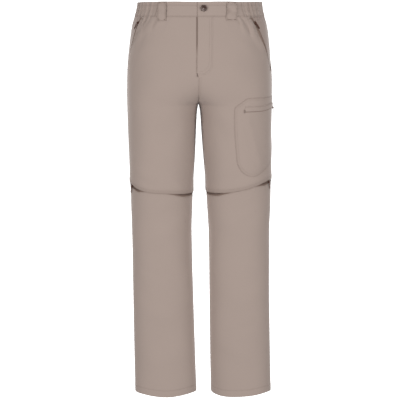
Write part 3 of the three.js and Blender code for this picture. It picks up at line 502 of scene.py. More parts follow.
def falling(top: float, foot: float, step: float, fine: Sequence[tuple[float, float, float]] = ()) -> Array:
    """Heights from top down to foot.

    Args:
        top: First height.
        foot: Last height.
        step: Usual step.
        fine: Stretches with a step of their own, each as top, foot and step.

    Returns:
        The heights, falling.
    """
    heights = [np.linspace(top, foot, max(2, round((top - foot) / step)))]
    for high, low, small in fine:
        heights[0] = heights[0][(heights[0] > high) | (heights[0] < low)]
        heights.append(np.linspace(high, low, round((high - low) / small) + 1))
    return np.unique(np.concatenate(heights).round(3))[::-1]


@dataclass
class Cloth:
    """A closed sheet of cloth between an outer and an inner grid of points."""

    outer: Array
    inner: Array
    across: Array
    along: Array
    # Strength of the painted shade at each point: dark lines at seams and edges, and shade in creases.
    edge: Array
    ring: bool = False

    def build(self, name: str) -> Piece:
        """Makes the mesh, its UV map in metres and its attribute of the shade painted at seams, edges and
        creases.

        Args:
            name: The object's name.

        Returns:
            The new object, at the origin.
        """
        count = self.across.size
        points = np.concatenate([self.outer.reshape(-1, 3), self.inner.reshape(-1, 3)]) * MM
        number = np.arange(count).reshape(self.across.shape)
        if self.ring:
            number = np.concatenate([number, number[:, :1]], axis=1)
        under = number + count
        outer = self._quads(number[:-1, :-1], number[:-1, 1:], number[1:, 1:], number[1:, :-1])
        inner = self._quads(under[:-1, :-1], under[1:, :-1], under[1:, 1:], under[:-1, 1:])
        edges = [number[0, ::-1], number[-1]]
        if not self.ring:
            edges += [number[:, 0], number[::-1, -1]]
        walls = (self._quads(edge[:-1], edge[1:], edge[1:] + count, edge[:-1] + count) for edge in edges)
        faces = np.concatenate([outer, inner, *walls])
        a, b, c, d = points[faces.T]
        volume = np.einsum("ij,ij->i", a, np.cross(b, c) + np.cross(c, d)).sum()
        if volume < 0:
            faces = faces[:, ::-1]
        piece = meshed(name, points, faces.tolist())
        mesh = piece.data
        flat = np.stack([self.across.ravel(), self.along.ravel()], axis=-1) * MM
        flat = np.tile(flat, (2, 1)).astype(np.float32)
        mesh.uv_layers.new(name="cloth").data.foreach_set("uv", flat[faces.ravel()].ravel())
        # The seam attribute holds the painted shade that darkens the cloth's colour.
        marks = mesh.attributes.new("seam", "FLOAT", "POINT")
        marks.data.foreach_set("value", np.tile(self.edge.ravel(), 2).astype(np.float32))
        mesh.validate()
        soften(piece, 48)
        return piece

    @staticmethod
    def _quads(*corners: Array) -> Array:
        """Faces from four equal grids of corner numbers."""
        return np.stack([corner.ravel() for corner in corners], axis=-1)


def added(name: str, data: bpy.types.ID) -> Piece:
    """Adds an object with that data to the scene."""
    piece = bpy.data.objects.new(name, data)
    bpy.context.scene.collection.objects.link(piece)
    return piece


def meshed(name: str, points: Array, faces: Sequence) -> Piece:
    """Adds a smooth object of those points, in metres, and faces."""
    mesh = bpy.data.meshes.new(name)
    mesh.from_pydata(points.tolist(), [], faces)
    mesh.polygons.foreach_set("use_smooth", [True] * len(mesh.polygons))
    return added(name, mesh)


def unit(way: Array) -> Array:
    """Directions, each made one long."""
    return way / norm(way, axis=-1, keepdims=True)


def only(piece: Piece) -> None:
    """Selects one object alone and makes it active."""
    bpy.ops.object.select_all(action="DESELECT")
    piece.select_set(True)
    bpy.context.view_layer.objects.active = piece


def soften(piece: Piece, degrees: float) -> None:
    """Shades an object smooth up to an angle between its faces."""
    only(piece)
    bpy.ops.object.shade_smooth_by_angle(angle=math.radians(degrees))


class Beads:
    """Many small rounded beads in one mesh, such as stitches of thread or a zip's coil."""

    RINGS = (-0.62, 0.0, 0.62)
    START = 1.45
    PITCH = 2.9
    MARGIN = 0.0
    AHEAD = 0.6

    def __init__(self, name: str) -> None:
        """Starts an empty mesh under that name."""
        self.name = name
        self.batches: list[Array] = []

    def walk(self, path: Array, normal: Array) -> tuple[Array, Array, Array]:
        """Even places along a path, with the way on and the outward direction at each."""
        steps = norm(np.diff(path, axis=0), axis=1)
        along = np.concatenate([[0], np.cumsum(steps)])
        at = np.arange(self.START, along[-1] - self.MARGIN, self.PITCH)

        def read(values: Array, where: Array) -> Array:
            """Values of the path at distances along it."""
            return np.stack([np.interp(where, along, column) for column in values.T], axis=-1)

        return read(path, at), read(path, at + self.AHEAD) - read(path, at - self.AHEAD), read(normal, at)

    def add(self, centre: Array, direction: Array, normal: Array, size: tuple[float, float, float]) -> None:
        """Adds a bead at each centre.

        Args:
            centre: Middle of each bead.
            direction: The way each bead points.
            normal: The way each bead's top faces.
            size: Half length, half width and height of a bead.
        """
        direction = unit(direction)
        across = unit(np.cross(normal, direction))
        up = np.cross(direction, across)
        corners = [(-1, 0, -0.35)]
        for ring in self.RINGS:
            swell = math.sqrt(1 - ring * ring)
            corners += [(ring, swell, -0.1), (ring, 0.0, swell), (ring, -swell, -0.1), (ring, 0.0, -0.6)]
        corners.append((1, 0, -0.35))
        shape = np.array(corners) * size
        beads = centre[:, None, :] + sum(
            shape[None, :, n, None] * axis[:, None, :] for n, axis in enumerate((direction, across, up))
        )
        self.batches.append(beads)

    @staticmethod
    def _faces() -> list[tuple[int, ...]]:
        """Faces of one bead, pointing outwards."""
        faces: list[tuple[int, ...]] = []
        for n in range(4):
            faces.append((0, 1 + (n + 1) % 4, 1 + n))
            faces.append((13, 9 + n, 9 + (n + 1) % 4))
            for ring in (1, 5):
                a, b = ring + n, ring + (n + 1) % 4
                faces.append((a, b, b + 4, a + 4))
        return faces

    def build(self) -> Piece:
        """Joins the beads in one object, shaded smooth.

        Returns:
            The new object, at the origin.
        """
        beads = np.concatenate(self.batches)
        count, size = beads.shape[:2]
        faces = [tuple(n + size * bead for n in face) for bead in range(count) for face in self._faces()]
        return meshed(self.name, beads.reshape(-1, 3) * MM, faces)


class Sewing(Beads):
    """Rows of machine stitching."""

    STITCH = (1.15, 0.28, 0.26)
    BAR = (1.5, 0.3, 0.34)

    def row(self, path: Array, normal: Array) -> None:
        """Sews along a path, whose outward directions are given."""
        centre, way, up = self.walk(path, normal)
        if len(centre):
            self.add(centre, way, up, self.STITCH)

    def tack(self, side: Side, ends: Array) -> None:
        """Sews a bar tack: close stitches across the line between two ends."""
        run = ends[1] - ends[0]
        count = max(3, round(float(norm(run)) / 0.55))
        centre = ends[0] + run * np.linspace(0, 1, count)[:, None]
        normal = FORM.normal(side, ends)[:1]
        self.add(centre, np.cross(normal, run), normal, self.BAR)


class Coil(Beads):
    """A zip's closed coil, as ribs across it."""

    START = PITCH = MARGIN = 1.5
    AHEAD = 0.5
    RIB = (0.62, 0.5)
    STAGGER = 0.5

    def run(self, path: Array, normal: Array, reach: float) -> None:
        """Lays ribs that reach to each side along a path, whose outward directions are given."""
        centre, way, up = self.walk(path, normal)
        across = unit(np.cross(up, way))
        shift = self.STAGGER * np.where(np.arange(len(centre)) % 2, 1.0, -1.0)[:, None]
        self.add(centre + across * shift, across, up, (reach, *self.RIB))


class Signal:
    """A shader value that does its maths with Math nodes."""

    def __init__(self, graph: "Graph", socket: bpy.types.NodeSocket) -> None:
        """Wraps a socket of a graph."""
        self.graph = graph
        self.socket = socket

    def __add__(self, other: "Signal | float") -> "Signal":
        """Sum."""
        return self.graph.math("ADD", self, other)

    def __sub__(self, other: "Signal | float") -> "Signal":
        """Difference."""
        return self.graph.math("SUBTRACT", self, other)

    def __rsub__(self, other: float) -> "Signal":
        """Difference with a number first."""
        return self.graph.math("SUBTRACT", other, self)

    def __mul__(self, other: "Signal | float") -> "Signal":
        """Product."""
        return self.graph.math("MULTIPLY", self, other)

    __radd__ = __add__
    __rmul__ = __mul__

    def sine(self) -> "Signal":
        """Sine of the value in radians."""
        return self.graph.math("SINE", self)


Colour = tuple[float, float, float]
Input = Signal | float | tuple


class Graph:
    """A material's node graph around one Principled shader."""

    def __init__(self, name: str) -> None:
        """Starts a material with a Principled shader alone."""
        self.material = bpy.data.materials.new(name)
        self.material.use_nodes = True
        self.tree = self.material.node_tree
        self.tree.nodes.clear()
        self.shader = self.tree.nodes.new("ShaderNodeBsdfPrincipled")
        output = self.tree.nodes.new("ShaderNodeOutputMaterial")
        self.tree.links.new(self.shader.outputs["BSDF"], output.inputs["Surface"])

    def plug(self, socket: bpy.types.NodeSocket, value: Input) -> None:
        """Sets a socket to a value, or links a signal to it."""
        if isinstance(value, Signal):
            self.tree.links.new(value.socket, socket)
        else:
            socket.default_value = value

    def node(self, kind: str, settings: dict, inputs: dict, output: str | int = 0) -> Signal:
        """Adds a node.

        Args:
            kind: The node's type.
            settings: Its settings, set first. The key stops gives a ramp's places and colours.
            inputs: Values or signals of its sockets, by name or number.
            output: The socket that is wanted.

        Returns:
            That output as a signal.
        """
        node = self.tree.nodes.new(kind)
        for key, value in settings.items():
            if key == "stops":
                for element, (place, colour) in zip(node.color_ramp.elements, value):
                    element.position, element.color = place, colour
            else:
                setattr(node, key, value)
        for key, value in inputs.items():
            self.plug(node.inputs[key], value)
        return Signal(self, node.outputs[output])

    def math(self, operation: str, *values: Signal | float) -> Signal:
        """A Math node on up to three values."""
        return self.node("ShaderNodeMath", {"operation": operation}, dict(enumerate(values)))

    def blend(self, factor: Signal | float, first: Input, second: Input) -> Signal:
        """A colour between two, by a factor."""
        settings = {"data_type": "RGBA", "clamp_factor": True}
        return self.node("ShaderNodeMix", settings, {"Factor": factor, 6: first, 7: second}, 2)

    def noise(self, vector: Signal, scale: float, detail: float = 2.0) -> Signal:
        """Noise round 0.5 on a vector."""
        return self.node("ShaderNodeTexNoise", {}, {"Vector": vector, "Scale": scale, "Detail": detail})

    def stretched(self, vector: Signal, scale: tuple[float, float, float]) -> Signal:
        """A vector scaled by its own amount on each axis."""
        return self.node("ShaderNodeMapping", {}, {"Vector": vector, "Scale": scale})

    def object_place(self) -> Signal:
        """Place on the object."""
        return self.node("ShaderNodeTexCoord", {}, {}, "Object")

    def finish(self, **sockets: Input) -> Material:
        """Sets the shader's sockets, with underscores for spaces, and returns the material."""
        for name, value in sockets.items():
            self.plug(self.shader.inputs[name.replace("_", " ")], value)
        return self.material


def rgba(colour: Colour, shade: float = 1.0) -> tuple[float, float, float, float]:
    """A linear colour from 8-bit sRGB numbers, made darker or lighter by a shade."""
    linear = [((c / 255 + 0.055) / 1.055) ** 2.4 if c > 10 else c / 255 / 12.92 for c in colour]
    return (*(min(1.0, c * shade) for c in linear), 1.0)


@dataclass(frozen=True)
class WovenCloth:
    """Plain-woven cloth: its colour, thread pitch in metres, sheen and the depth of the shade painted at its
    seams, edges and creases.
    """

    name: str
    colour: Colour
    pitch: float = 0.00042
    roughness: float = 0.78
    sheen: float = 0.18
    seam_shade: float = 0.24
    mottle: float = 0.05

    def material(self) -> Material:
        """Builds the weave, the uneven threads, the mottling and the shade painted at seams, edges and
        creases.
        """
        graph = Graph(self.name)
        flat = graph.node("ShaderNodeUVMap", {"uv_map": "cloth"}, {})
        across, along = (graph.node("ShaderNodeSeparateXYZ", {}, {"Vector": flat}, axis) for axis in "XY")
        turn = 2 * math.pi / self.pitch
        weave = (across * turn).sine() * (along * turn).sine()
        warp = graph.noise(graph.stretched(flat, (1400.0, 60.0, 1.0)), 1.0, 1.0)
        weft = graph.noise(graph.stretched(flat, (60.0, 1400.0, 1.0)), 1.0, 1.0)
        threads = (warp + weft) * 0.5
        mottling = graph.noise(graph.object_place(), 9.0, 4.0)
        seam = graph.node("ShaderNodeAttribute", {"attribute_name": "seam"}, {}, "Fac")
        tone = 0.5 + (threads - 0.5) * 0.5 + (mottling - 0.5) * self.mottle * 10
        dark, light = rgba(self.colour, 1 - self.mottle), rgba(self.colour, 1 + self.mottle)
        cloth = graph.blend(tone, dark, light)
        # Painted shade: the seam attribute blends the cloth towards a dark brown at seams, edges and creases.
        colour = graph.blend(seam * self.seam_shade, cloth, rgba(PAINTED_SHADE_COLOUR))
        height = weave * 0.35 + threads * 0.8
        bump = graph.node("ShaderNodeBump", {}, {"Strength": 0.35, "Distance": 0.00012, "Height": height})
        gloss = self.roughness + (threads - 0.5) * 0.1
        sheen = {"Sheen_Weight": self.sheen, "Sheen_Roughness": 0.6, "Specular_IOR_Level": 0.3}
        return graph.finish(Base_Color=colour, Roughness=gloss, Normal=bump, **sheen)


@dataclass(frozen=True)
class SpunThread:
    """Sewing thread or moulded coil: its colour, gloss and the pitch of its twist in metres."""

    name: str
    colour: Colour
    twist: float
    roughness: float

    def material(self) -> Material:
        """Builds a slight twist and uneven colour."""
        graph = Graph(self.name)
        place = graph.object_place()
        fibre = graph.noise(place, 1 / self.twist, 2.0)
        tone = graph.noise(place, 40.0, 1.0)
        colour = graph.blend(tone, rgba(self.colour, 0.86), rgba(self.colour, 1.12))
        bump = graph.node("ShaderNodeBump", {}, {"Strength": 0.3, "Distance": 0.0001, "Height": fibre})
        return graph.finish(Base_Color=colour, Roughness=self.roughness + (fibre - 0.5) * 0.2, Normal=bump)


@dataclass(frozen=True)
class Enamel:
    """Dark enamel on cast metal, with handling marks where it has worn."""

    name: str
    colour: Colour
    worn: Colour
    wear: float
    roughness: float

    def material(self) -> Material:
        """Builds the enamel, its fine pits and its worn places."""
        graph = Graph(self.name)
        place = graph.object_place()
        blotch = graph.noise(place, 420.0, 3.0)
        pits = graph.noise(place, 2600.0, 2.0)
        stops = [(0.62, (0, 0, 0, 1)), (0.74, (1, 1, 1, 1))]
        bare = graph.node("ShaderNodeValToRGB", {"stops": stops}, {"Fac": blotch}) * self.wear
        tone = graph.blend(pits, rgba(self.colour, 0.85), rgba(self.colour, 1.2))
        colour = graph.blend(bare, tone, rgba(self.worn))
        bump = graph.node("ShaderNodeBump", {}, {"Strength": 0.2, "Distance": 0.00008, "Height": pits})
        metal = 0.35 + bare * 0.6
        gloss = self.roughness + (blotch - 0.5) * 0.2
        return graph.finish(Base_Color=colour, Metallic=metal, Roughness=gloss, Normal=bump, Coat_Weight=0.4)


SHELL_COLOUR: Colour = (166, 149, 140)
# The colour of the shade painted at seams, edges and creases.
PAINTED_SHADE_COLOUR: Colour = (92, 72, 60)


class Wardrobe:
    """All finishes of the garment, made once."""

    def __init__(self) -> None:
        """Makes each finish."""
        self.shell = WovenCloth("shell_cloth", SHELL_COLOUR).material()
        self.facing = WovenCloth("facing_cloth", (162, 144, 135), seam_shade=0.2).material()
        self.thread = SpunThread("sewing_thread", (152, 134, 125), 0.0004, 0.7).material()
        self.tape = WovenCloth("zip_tape_weave", (126, 107, 97), 0.0006, 0.85, 0.0, 0.0).material()
        self.pocket_tape = WovenCloth("pocket_tape_weave", (144, 124, 113), 0.0006, 0.85, 0.0, 0.0).material()
        self.coil = SpunThread("zip_coil_nylon", (98, 80, 71), 0.0006, 0.42).material()
        self.pull = Enamel("pull_enamel", (92, 58, 44), (150, 120, 96), 0.25, 0.34).material()
        self.button = Enamel("button_enamel", (66, 44, 36), (190, 166, 144), 0.35, 0.3).material()


class Atelier:
    """Hands finished pieces to the frame: what they ride on, replace and are finished with."""

    def __init__(self, wardrobe: Wardrobe) -> None:
        """Keeps the finishes."""
        self.wardrobe = wardrobe

    def dress(
        self, piece: Piece, material: Material, slot: Slot, nodes: Sequence[str] = (), body: str = GARMENT
    ) -> Piece:
        """Gives a piece its material and body, and hides the nodes that it stands for.

        Args:
            piece: The finished piece.
            material: Its material.
            slot: The record's slot that it takes its finish from; not used.
            nodes: CAD nodes that it replaces.
            body: CAD body that it rides on.

        Returns:
            The piece.
        """
        piece.data.materials.append(material)
        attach(piece, body)
        if nodes:
            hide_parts(*nodes)
        LOG.info("%s: %d faces", piece.name, len(piece.data.polygons))
        return piece

    def coil(self, name: str, path: Array, normal: Array, reach: float = 1.9) -> None:
        """Builds a zip's coil along a path, whose outward directions are given, and dresses it."""
        coil = Coil(name)
        coil.run(path, normal, reach)
        self.dress(coil.build(), self.wardrobe.coil, Slot.TAPE)

    def tape(
        self, name: str, node: str, grids: tuple, material: Material | None = None, ring: bool = False
    ) -> None:
        """Lays a zip's plain tape from its four grids: outer, inner, across and along."""
        cloth = Cloth(*grids, np.zeros(grids[2].shape), ring)
        self.lay(cloth, node, Held.LAID, Slot.TAPE, material, name=name)

    def lay(
        self, cloth: Cloth, node: str, held: Held, slot: Slot = Slot.SHELL,
        material: Material | None = None, cut_gain: float = 1.0, name: str = "",
    ) -> None:
        """Builds a sheet, dresses it and works out the size of its cut.

        Args:
            cloth: The sheet.
            node: CAD node that it replaces.
            held: How it is held; not used.
            slot: The record's slot.
            material: Its material, where it isn't the slot's usual one.
            cut_gain: How much wider it was cut than it shows, as for gathers.
            name: Its name, where it isn't the node's with cloth after it.
        """
        usual = self.wardrobe.shell if slot is Slot.SHELL else self.wardrobe.tape
        piece = self.dress(cloth.build(name or f"{node}_cloth"), material or usual, slot, [node])
        grid = cloth.outer * MM
        steps_across = norm(np.diff(grid, axis=1), axis=2)
        steps_along = norm(np.diff(grid, axis=0), axis=2)
        widths = steps_across.sum(axis=1)
        length = float(steps_along.sum(axis=0).max())
        share = np.abs(np.diff(cloth.along.mean(axis=1)))
        share /= share.sum()
        area = float(((widths[:-1] + widths[1:]) / 2 * share).sum() * steps_along.sum(axis=0).mean())
        width = float(widths.max()) * cut_gain
        area = min(area * cut_gain, width * length)


CLOTH = 0.9
HEM_CLOTH = 1.8
SEAM_FOLD = 7.0
SEAM_RIDGE = 0.45
SEAM_ROWS = (1.5, 6.2)
SEW_STEP = 1.5


def felled(distance: Array) -> Array:
    """Lift of a felled seam's folded allowance, beside the seam."""
    return SEAM_RIDGE * ease(distance, 0.2, 1.2) * (1 - ease(distance, SEAM_FOLD - 0.6, SEAM_FOLD + 0.8))


def pucker(along: Array, distance: Array, turn: float) -> Array:
    """Lift of the slight puckers that sewing leaves beside a seam."""
    wave = np.sin(along * 0.47 + turn) + 0.6 * np.sin(along * 0.29 + 2.2 * turn)
    return 0.14 * wave * np.exp(-(((distance - 5) / 5) ** 2))


def mark(distance: Array) -> Array:
    """The strength of the shade painted along a seam, edge or line, at a distance from it."""
    return np.exp(-((distance / 1.6) ** 2))


KNEE_LINES = {
    R: SmoothColumn([0, 0.12, 0.28, 0.42, 0.6, 0.8, 1], [-463, -465, -478, -484, -486, -489, -492]),
    L: SmoothColumn(
        [0, 0.12, 0.22, 0.32, 0.45, 0.62, 0.8, 1], [-456, -453.5, -457, -465, -475, -483, -486.5, -488.5]
    ),
}
KNEE_STAND = SmoothColumn([0, 0.2, 0.36, 0.5, 0.62, 0.76, 1], [2.1, 2.1, 2.4, 2.4, 2.3, 2.2, 2.1])
KNEE_COVER = SmoothColumn([0, 0.2, 0.36, 0.5, 0.62, 0.76, 1], [-4.5, -4.5, 6, 7, 3, -3, -3])


@dataclass
class LegPart:
    """What the upper and the lower legs share: each gives its own lift, panel and sew."""

    atelier: Atelier

    def row(self, sewing: Sewing, side: Side, face: Face, at: Array, height: Array) -> None:
        """Sews a row over a panel's own outer side."""
        path = FORM.place(side, face, at, height, self.lift(side, face, at, height) + 0.06)
        sewing.row(path, FORM.normal(side, path))

    def seam(self, sewing: Sewing, side: Side, face: Face, height: Array, inner: bool = False) -> None:
        """Sews both rows of a seam down a panel's outer edge, or down its inner one."""
        for inset in SEAM_ROWS:
            at = FORM.length(side, face, height) - inset if inner else np.full_like(height, inset)
            self.row(sewing, side, face, at, height)

    def lay(self, names: tuple, panel: tuple[Side, Face], grids: tuple, cloth: Array) -> None:
        """Lays a panel's cloth, named as a sheet and as a node, over grids of across, height and painted
        shade.
        """
        lift = self.lift(*panel, *grids[:2])
        rises = (lift, lift - cloth)
        outer, inner = (self.settle(panel[0], FORM.place(*panel, *grids[:2], rise)) for rise in rises)
        self.atelier.lay(Cloth(outer, inner, *grids), names[1], Held.HUNG, name=names[0])

    @staticmethod
    def settle(side: Side, point: Array) -> Array:
        """Points of a panel as they are, unless a part holds them."""
        return point

    def build(self, sewing: Sewing) -> None:
        """Builds the four panels and their sewing."""
        for side in Side:
            for face in Face:
                self.panel(side, face)
            self.sew(sewing, side)


@dataclass
class UpperLegs(LegPart):
    """Front and back panels from the waistband to the knee flap's edge, and their sewing."""

    columns: int = 74
    flare: float = 45.0
    bend_start: float = -330.0
    flap_hem: float = 12.0

    def height(self, side: Side, row: Array, share: Array) -> Array:
        """Height of a row, which bends to the knee line towards the flap's edge."""
        bend = ease(self.bend_start - row, 0, self.bend_start - KNEE)
        return row + (KNEE_LINES[side](share) - KNEE) * bend

    def flap(self, side: Side, share: Array, height: Array) -> Array:
        """How far the flap stands off the leg."""
        above = height - KNEE_LINES[side](share)
        return KNEE_STAND(share) * (1 - ease(above, 0, self.flare))

    def lift(self, side: Side, face: Face, at: Array, height: Array) -> Array:
        """Lift of the panel's outer side, with its rolled edges and folded seams."""
        length = FORM.length(side, face, height)
        share = at / length
        lift = self.flap(side, share, height)
        inner = length - at
        from_hem = height - KNEE_LINES[side](share)
        lift += roll(from_hem, 0.9) + roll(BAND_FOOT - height, 0.3) + pucker(at, from_hem, 0.4)
        lift += 0.25 * ease(from_hem, 14.5, 10.5)
        centre_fold = side is L
        if face is F:
            _, edge, gape = FORM.mouth(side, height)
            from_edge = at - edge
            lift += 0.45 * gape * (1 - ease(from_edge, 0, 30))
            lift += roll(from_edge) + pucker(height, from_edge, 1.1)
            ridge = felled(inner) * (height >= CROTCH) * centre_fold
        else:
            lift += roll(at) + felled(at) + pucker(height, at, 2.0)
            ridge = felled(inner) * np.where(height < CROTCH, 1, centre_fold)
        open_seam = np.where(height < CROTCH, 1.0, 0.35)
        return lift + ridge * open_seam + roll(inner) * open_seam + pucker(height, inner, 0.7 * side.value)

    def panel(self, side: Side, face: Face) -> None:
        """Builds one panel."""
        fine = [(BAND_FOOT, -19.5, 0.3), (-19.5, -66, 2.0)]
        fine += [(KNEE + 14, KNEE + 1.6, 1.2), (KNEE + 1.6, KNEE, 0.3)]
        if face is F:
            fine.insert(2, (MOUTH_FOOT + 3, MOUTH_FOOT - MOUTH_CLOSE - 2, 0.8))
        rows = falling(BAND_FOOT, KNEE, 3.4, fine)
        start = FORM.mouth(side, rows)[1] if face is F else 0 * rows
        length = FORM.length(side, face, rows)
        share = between(start, length, self.columns) / length[:, None]
        height = self.height(side, rows[:, None], share)
        at = share * FORM.length(side, face, height)
        from_hem = height - KNEE_LINES[side](share)
        cloth = CLOTH + (HEM_CLOTH - CLOTH) * ease(from_hem, self.flap_hem + 2, self.flap_hem - 1)
        inner = FORM.length(side, face, height) - at
        # Painted shade: dark lines at the side seam, the inseam and the knee flap's edge, a soft painted
        # shade band along the flap's hem, and painted shade under the band and in the creases.
        seams = mark(at) + mark(inner) * np.where(height < CROTCH, 1.0, 0.3) + mark(from_hem)
        seams += 0.7 * mark((from_hem - 2) / 5)
        seams += 0.3 * mark(BAND_FOOT - height) + FORM.shade(side, face, at, height)
        # Painted shade along the pocket mouth's edge, fainter lower down.
        if face is F:
            open_part = 0.25 + 0.75 * ease(height, -104, -70)
            seams += open_part * mark(at - FORM.mouth(side, height)[1])
        # A painted shadow on the right front beside the placket's edge, strongest near the top.
        if face is F and side is R:
            fly_shadow = ease(height, -168, -150) * (0.3 + 0.7 * ease(height, -118, -84))
            seams += 4 * mark(inner - 6.4) * fly_shadow
        names = (f"{face.word}_{side.word}_cloth", f"{face.word}_panel_{side.word}")
        self.lay(names, (side, face), (at, height, seams), cloth)

    @staticmethod
    def settle(side: Side, point: Array) -> Array:
        """Holds a panel to its own side above the crotch, with its last column on the centre."""
        lean = LEAN(point[..., 2])
        out = np.maximum(side.value * (point[..., 0] - lean), 0)
        out[:, -1] = 0
        point[..., 0] = np.where(point[..., 2] >= CROTCH, side.value * out + lean, point[..., 0])
        return point

    def sew(self, sewing: Sewing, side: Side) -> None:
        """Sews the side seam, inseam, centre seams and flap hem of one side."""
        down = np.arange(-24.0, -452.0, -SEW_STEP)
        leg = np.arange(CROTCH - 6, -478.0, -SEW_STEP)
        self.seam(sewing, side, B, down)
        self.seam(sewing, side, B, leg, True)
        share = np.linspace(0.02, 0.98, 260)
        height = KNEE_LINES[side](share) + 8.5
        for face in Face:
            self.row(sewing, side, face, share * FORM.length(side, face, height), height)
        if side is L:
            for face, top in ((F, -172.0), (B, -24.0)):
                self.seam(sewing, side, face, np.arange(top, CROTCH + 3, -SEW_STEP), True)


@dataclass
class LowerLegs(LegPart):
    """The zip-off lower legs and their sewing."""

    top: float = -495.0
    bend_end: float = -620.0
    tape_below: float = 5.0
    gap: float = 0.3
    columns: int = 50
    hem: float = 20.0

    def edge(self, side: Side, share: Array) -> Array:
        """Height of the leg's top edge under the zip."""
        return KNEE_LINES[side](share) + KNEE_COVER(share) - self.tape_below - self.gap

    @staticmethod
    def foot(side: Side, face: Face, share: Array) -> Array:
        """Height of the leg's hem."""
        return HEM + HEM_RISE[side](share) * (face is F)

    def lift(self, side: Side, face: Face, at: Array, height: Array) -> Array:
        """Lift of the outer side, with its rolled edges, folded seams and hem."""
        length = FORM.length(side, face, height)
        inner = length - at
        from_top = self.edge(side, at / length) - height
        from_hem = height - self.foot(side, face, at / length)
        lift = roll(from_top, 0.9) + roll(from_hem, 0.9) + roll(at) + roll(inner)
        lift += 0.3 * ease(from_top, 9, 6) + 0.35 * ease(from_hem, self.hem + 1, self.hem - 2)
        lift += pucker(at, from_hem - self.hem + 5, 0.9) + pucker(height, at, 1.7 * side.value)
        lift += pucker(height, inner, 2.6)
        if face is B:
            lift += felled(at) + felled(inner)
        return lift

    def panel(self, side: Side, face: Face) -> None:
        """Builds one panel."""
        fine = [(self.top, self.top - 1.2, 0.3), (self.top - 1.2, self.top - 12, 1.6)]
        fine += [(HEM + 24, HEM + 1.2, 1.6), (HEM + 1.2, HEM, 0.3)]
        rows = falling(self.top, HEM, 4.6, fine)
        length = FORM.length(side, face, rows)
        share = between(0 * rows, length, self.columns) / length[:, None]
        bend = 1 - ease(self.top - rows[:, None], 0, self.top - self.bend_end)
        foot = ease(-rows[:, None], 950, -HEM) * (face is F)
        height = rows[:, None] + (self.edge(side, share) - self.top) * bend + HEM_RISE[side](share) * foot
        at = share * FORM.length(side, face, height)
        from_hem = height - self.foot(side, face, share)
        cloth = CLOTH + (HEM_CLOTH - CLOTH) * ease(from_hem, self.hem + 2, self.hem - 1)
        inner = FORM.length(side, face, height) - at
        # Painted shade: dark lines at the seams, the hem, the top edge under the knee flap and the hem's
        # stitch line.
        seams = mark(at) + mark(inner) + mark(from_hem) + mark(self.edge(side, share) - height)
        seams = np.clip(seams + 0.35 * mark(from_hem - self.hem), 0, 1)
        names = (f"lower_{face.word}_{side.word}_cloth", f"lower_leg_{face.word}_{side.word}")
        self.lay(names, (side, face), (at, height, seams), cloth)

    def sew(self, sewing: Sewing, side: Side) -> None:
        """Sews the seams, the top edge and the hem of one leg."""
        down = np.arange(-515.0, HEM + 3, -SEW_STEP)
        self.seam(sewing, side, B, down)
        self.seam(sewing, side, B, down, True)
        share = np.linspace(0.01, 0.99, 260)
        for face in Face:
            for height in (self.edge(side, share) - 3, self.foot(side, face, share) + self.hem - 1):
                self.row(sewing, side, face, share * FORM.length(side, face, height), height)


class ProfileRow(NamedTuple):
    """One line of a zip's section: its place, its lift and its thickness."""

    above: float
    lift: float
    thick: float


@dataclass
class KneeZips:
    """The zip ring round each leg: its tape and its coil."""

    atelier: Atelier
    columns: int = 200
    coil_lift: float = 0.35

    PROFILE = [ProfileRow(*row) for row in (
        (13, -0.7, 0.8), (8, -0.55, 0.8), (3.4, -0.35, 0.8), (2.6, -0.1, 1.0), (2.0, 0.1, 1.2),
        (-2.0, 0.1, 1.2), (-2.6, -0.1, 1.0), (-3.4, -0.3, 0.8), (-5.6, -0.5, 0.8),
    )]

    def ring(self, side: Side, above: float, lift: float) -> Array:
        """Points all round a leg at a distance above the coil."""
        half = np.linspace(0, 1, self.columns // 2 + 1)
        parts = []
        for face, share in ((F, half), (B, half[1:-1][::-1])):
            height = KNEE_LINES[side](share) + KNEE_COVER(share) + above
            at = share * FORM.length(side, face, height)
            parts.append(FORM.place(side, face, at, height, lift))
        return np.concatenate(parts)

    def build(self) -> None:
        """Builds both rings."""
        for side in Side:
            outer = np.stack([self.ring(side, row.above, row.lift) for row in self.PROFILE])
            inner = np.stack([self.ring(side, row.above, row.lift - row.thick) for row in self.PROFILE])
            steps = norm(np.diff(outer[5], axis=0, append=outer[5][:1]), axis=1)
            across = np.broadcast_to(np.cumsum(steps), outer.shape[:2])
            along = spread(np.array([row.above for row in self.PROFILE]), across)
            names = (f"knee_{side.word}_tape", f"knee_zip_{side.word}")
            self.atelier.tape(*names, (outer, inner, across, along), ring=True)
            path = self.ring(side, 0, self.coil_lift)
            path = np.concatenate([path, path[:1]])
            self.atelier.coil(f"knee_{side.word}_coil", path, FORM.normal(side, path))


def flat(at: Array, height: Array) -> float:
    """No extra lift."""
    return 0.0


